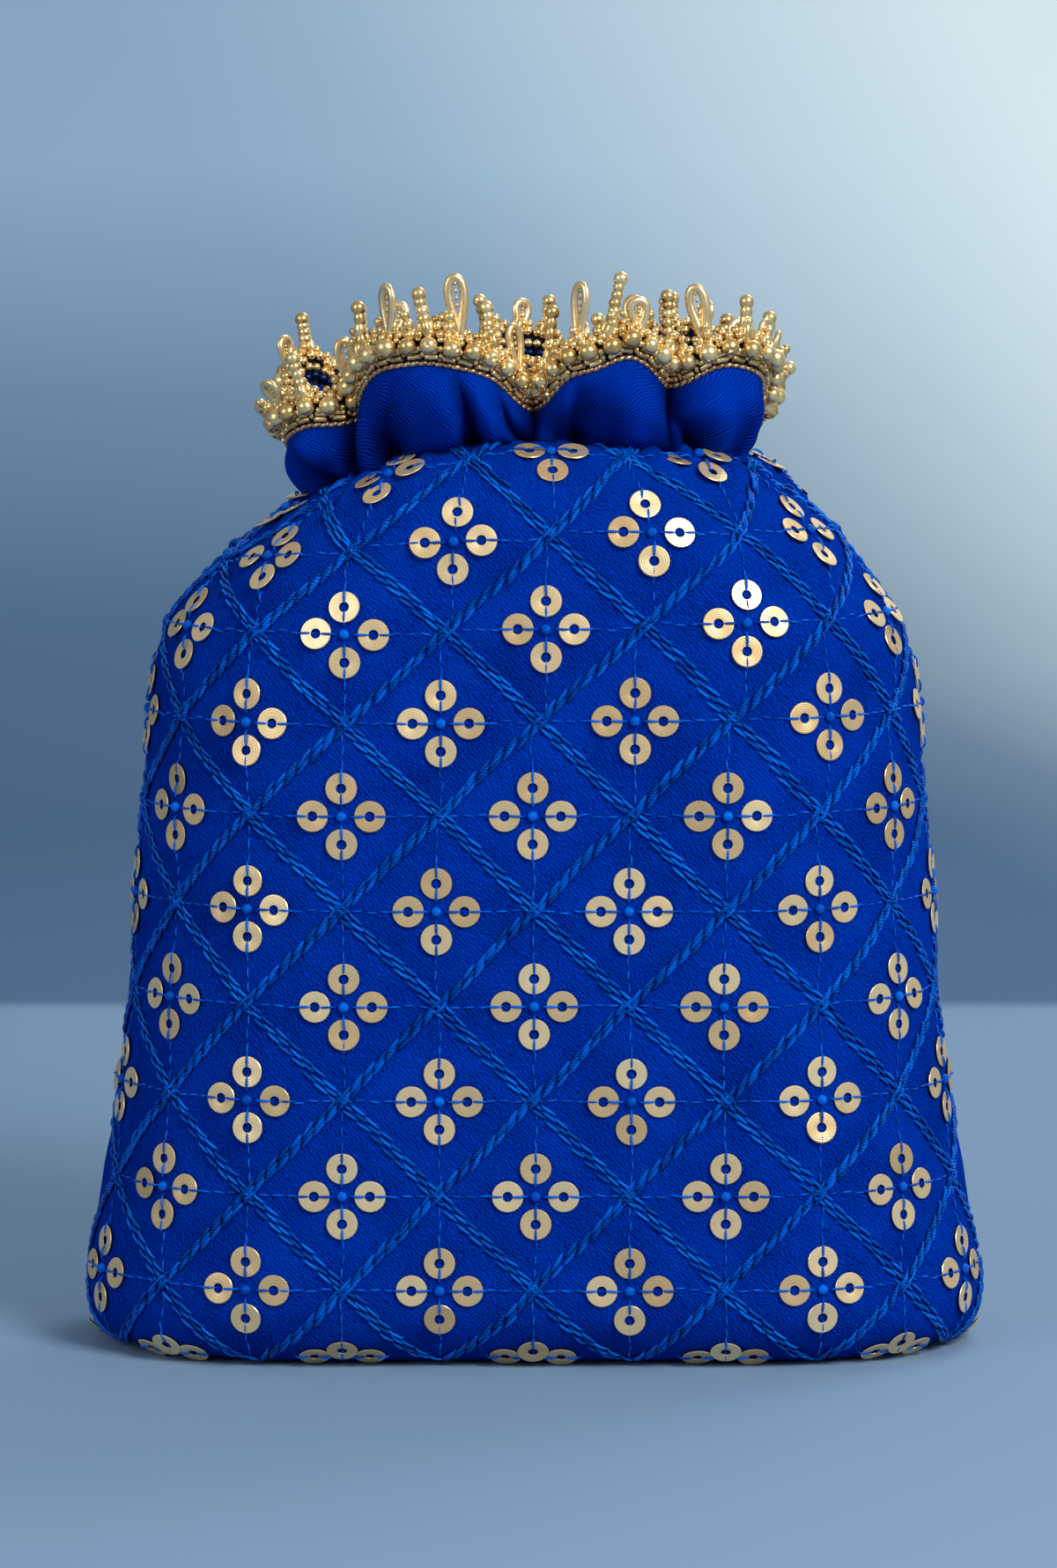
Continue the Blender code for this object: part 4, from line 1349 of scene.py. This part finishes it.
def make_camera():
    """The camera at the photo's angle, with a lens that takes in the photo's height."""
    data = bpy.data.cameras.new("camera")
    data.sensor_fit = "VERTICAL"
    data.sensor_height = SENSOR
    data.lens = SENSOR * CAMERA_DISTANCE / PHOTO_HEIGHT
    data.clip_end = 20.0
    camera = bpy.data.objects.new("camera", data)
    away = Vector((0.0, -math.cos(CAMERA_ELEVATION), math.sin(CAMERA_ELEVATION)))
    camera.location = LOOK_AT + away * CAMERA_DISTANCE
    camera.rotation_euler = (math.pi / 2 - CAMERA_ELEVATION, 0.0, 0.0)
    link(camera)
    bpy.context.scene.camera = camera


def make_lamp(name, place, target, size, power, color):
    data = bpy.data.lights.new(name, "AREA")
    data.shape = "RECTANGLE"
    data.size, data.size_y = size
    data.energy = power
    data.color = color
    lamp = bpy.data.objects.new(name, data)
    lamp.location = place
    lamp.rotation_euler = (Vector(target) - Vector(place)).to_track_quat("-Z", "Y").to_euler()
    link(lamp)


def paper_material():
    """Pale blue paper: pale near the bag, then darker towards the backdrop, by a ramp over depth
    and height whose stops grow pale again up the backdrop as painted light; a painted glow of pale
    light grows over it towards the upper right."""
    material, tree, shader = new_material("pale_blue_paper")
    split = tree.nodes.new("ShaderNodeSeparateXYZ")
    tree.links.new(add_node(tree, "ShaderNodeTexCoord").outputs["Object"], split.inputs[0])
    x, y, z = split.outputs
    plain = add_ramp(tree, weighted_sum(tree, (y, 0.4), (z, 0.6)), PAPER_AND_PAINTED_LIGHT_STOPS)
    right = add_math(tree, "MINIMUM", x, PAINTED_GLOW_END)
    # painted light: a pale glow over the paper, growing to the right and upwards
    painted_glow = weighted_sum(tree, (right, 1.2), (y, 0.2), (z, 0.72))
    painted_glow = add_ramp(tree, painted_glow, ((0.38, (0.0,) * 3), (0.50, (0.09,) * 3), (0.95, (1.0,) * 3)))
    blend = add_node(tree, "ShaderNodeMix", data_type="RGBA")
    tree.links.new(painted_glow, blend.inputs["Factor"])
    tree.links.new(plain, blend.inputs[6])
    blend.inputs[7].default_value = PAINTED_GLOW
    tree.links.new(blend.outputs[2], shader.inputs["Base Color"])
    set_surface(shader, Roughness=0.9)
    return material


def make_studio():
    """A pale floor that sweeps up into a backdrop, lit by a soft key lamp from the upper right, a
    fill from the left, a rim lamp from behind, a lamp on the backdrop and a pale blue world."""
    bend = np.linspace(0.1, math.pi / 2, 24)
    profile = [(-2.5, 0.0), (FLOOR_END, 0.0)]
    profile += [
        (FLOOR_END + BEND_RADIUS * math.sin(a), BEND_RADIUS * (1 - math.cos(a))) for a in bend
    ]
    profile += [(FLOOR_END + BEND_RADIUS, 3.0)]
    y, z = np.array(profile).T
    x = np.array((-4.0, 4.0))
    points = np.stack([np.tile(x, len(y)), np.repeat(y, 2), np.repeat(z, 2)], axis=-1)
    mesh = bpy.data.meshes.new("floor")
    mesh.from_pydata(points.tolist(), [], grid_quads(len(y), 2).tolist())
    mesh.shade_smooth()
    mesh.materials.append(paper_material())
    floor = bpy.data.objects.new("floor", mesh)
    link(floor)
    for lamp in LAMPS:
        make_lamp(*lamp)
    world = bpy.data.worlds.new("studio")
    world.use_nodes = True
    background = world.node_tree.nodes["Background"]
    background.inputs["Color"].default_value = (0.80, 0.86, 0.93, 1.0)
    background.inputs["Strength"].default_value = 0.36
    bpy.context.scene.world = world
    bpy.context.scene.view_settings.view_transform = "Standard"


make_camera()
front = make_panel("front_cloth", 1, "front_panel")
back = make_panel("back_cloth", -1, "back_panel")
for cloth, word, side in ((front, "front", 1), (back, "back", -1)):
    stitched = dress_panel(word, side)
make_frill()
make_net_band()
make_bead_rows()
for index in range(UPRIGHT_COUNT):
    make_upright = make_teardrop if index % 2 else make_bead_string
    make_upright(index, index // 2 + 1)
make_lining()
make_base()
make_studio()
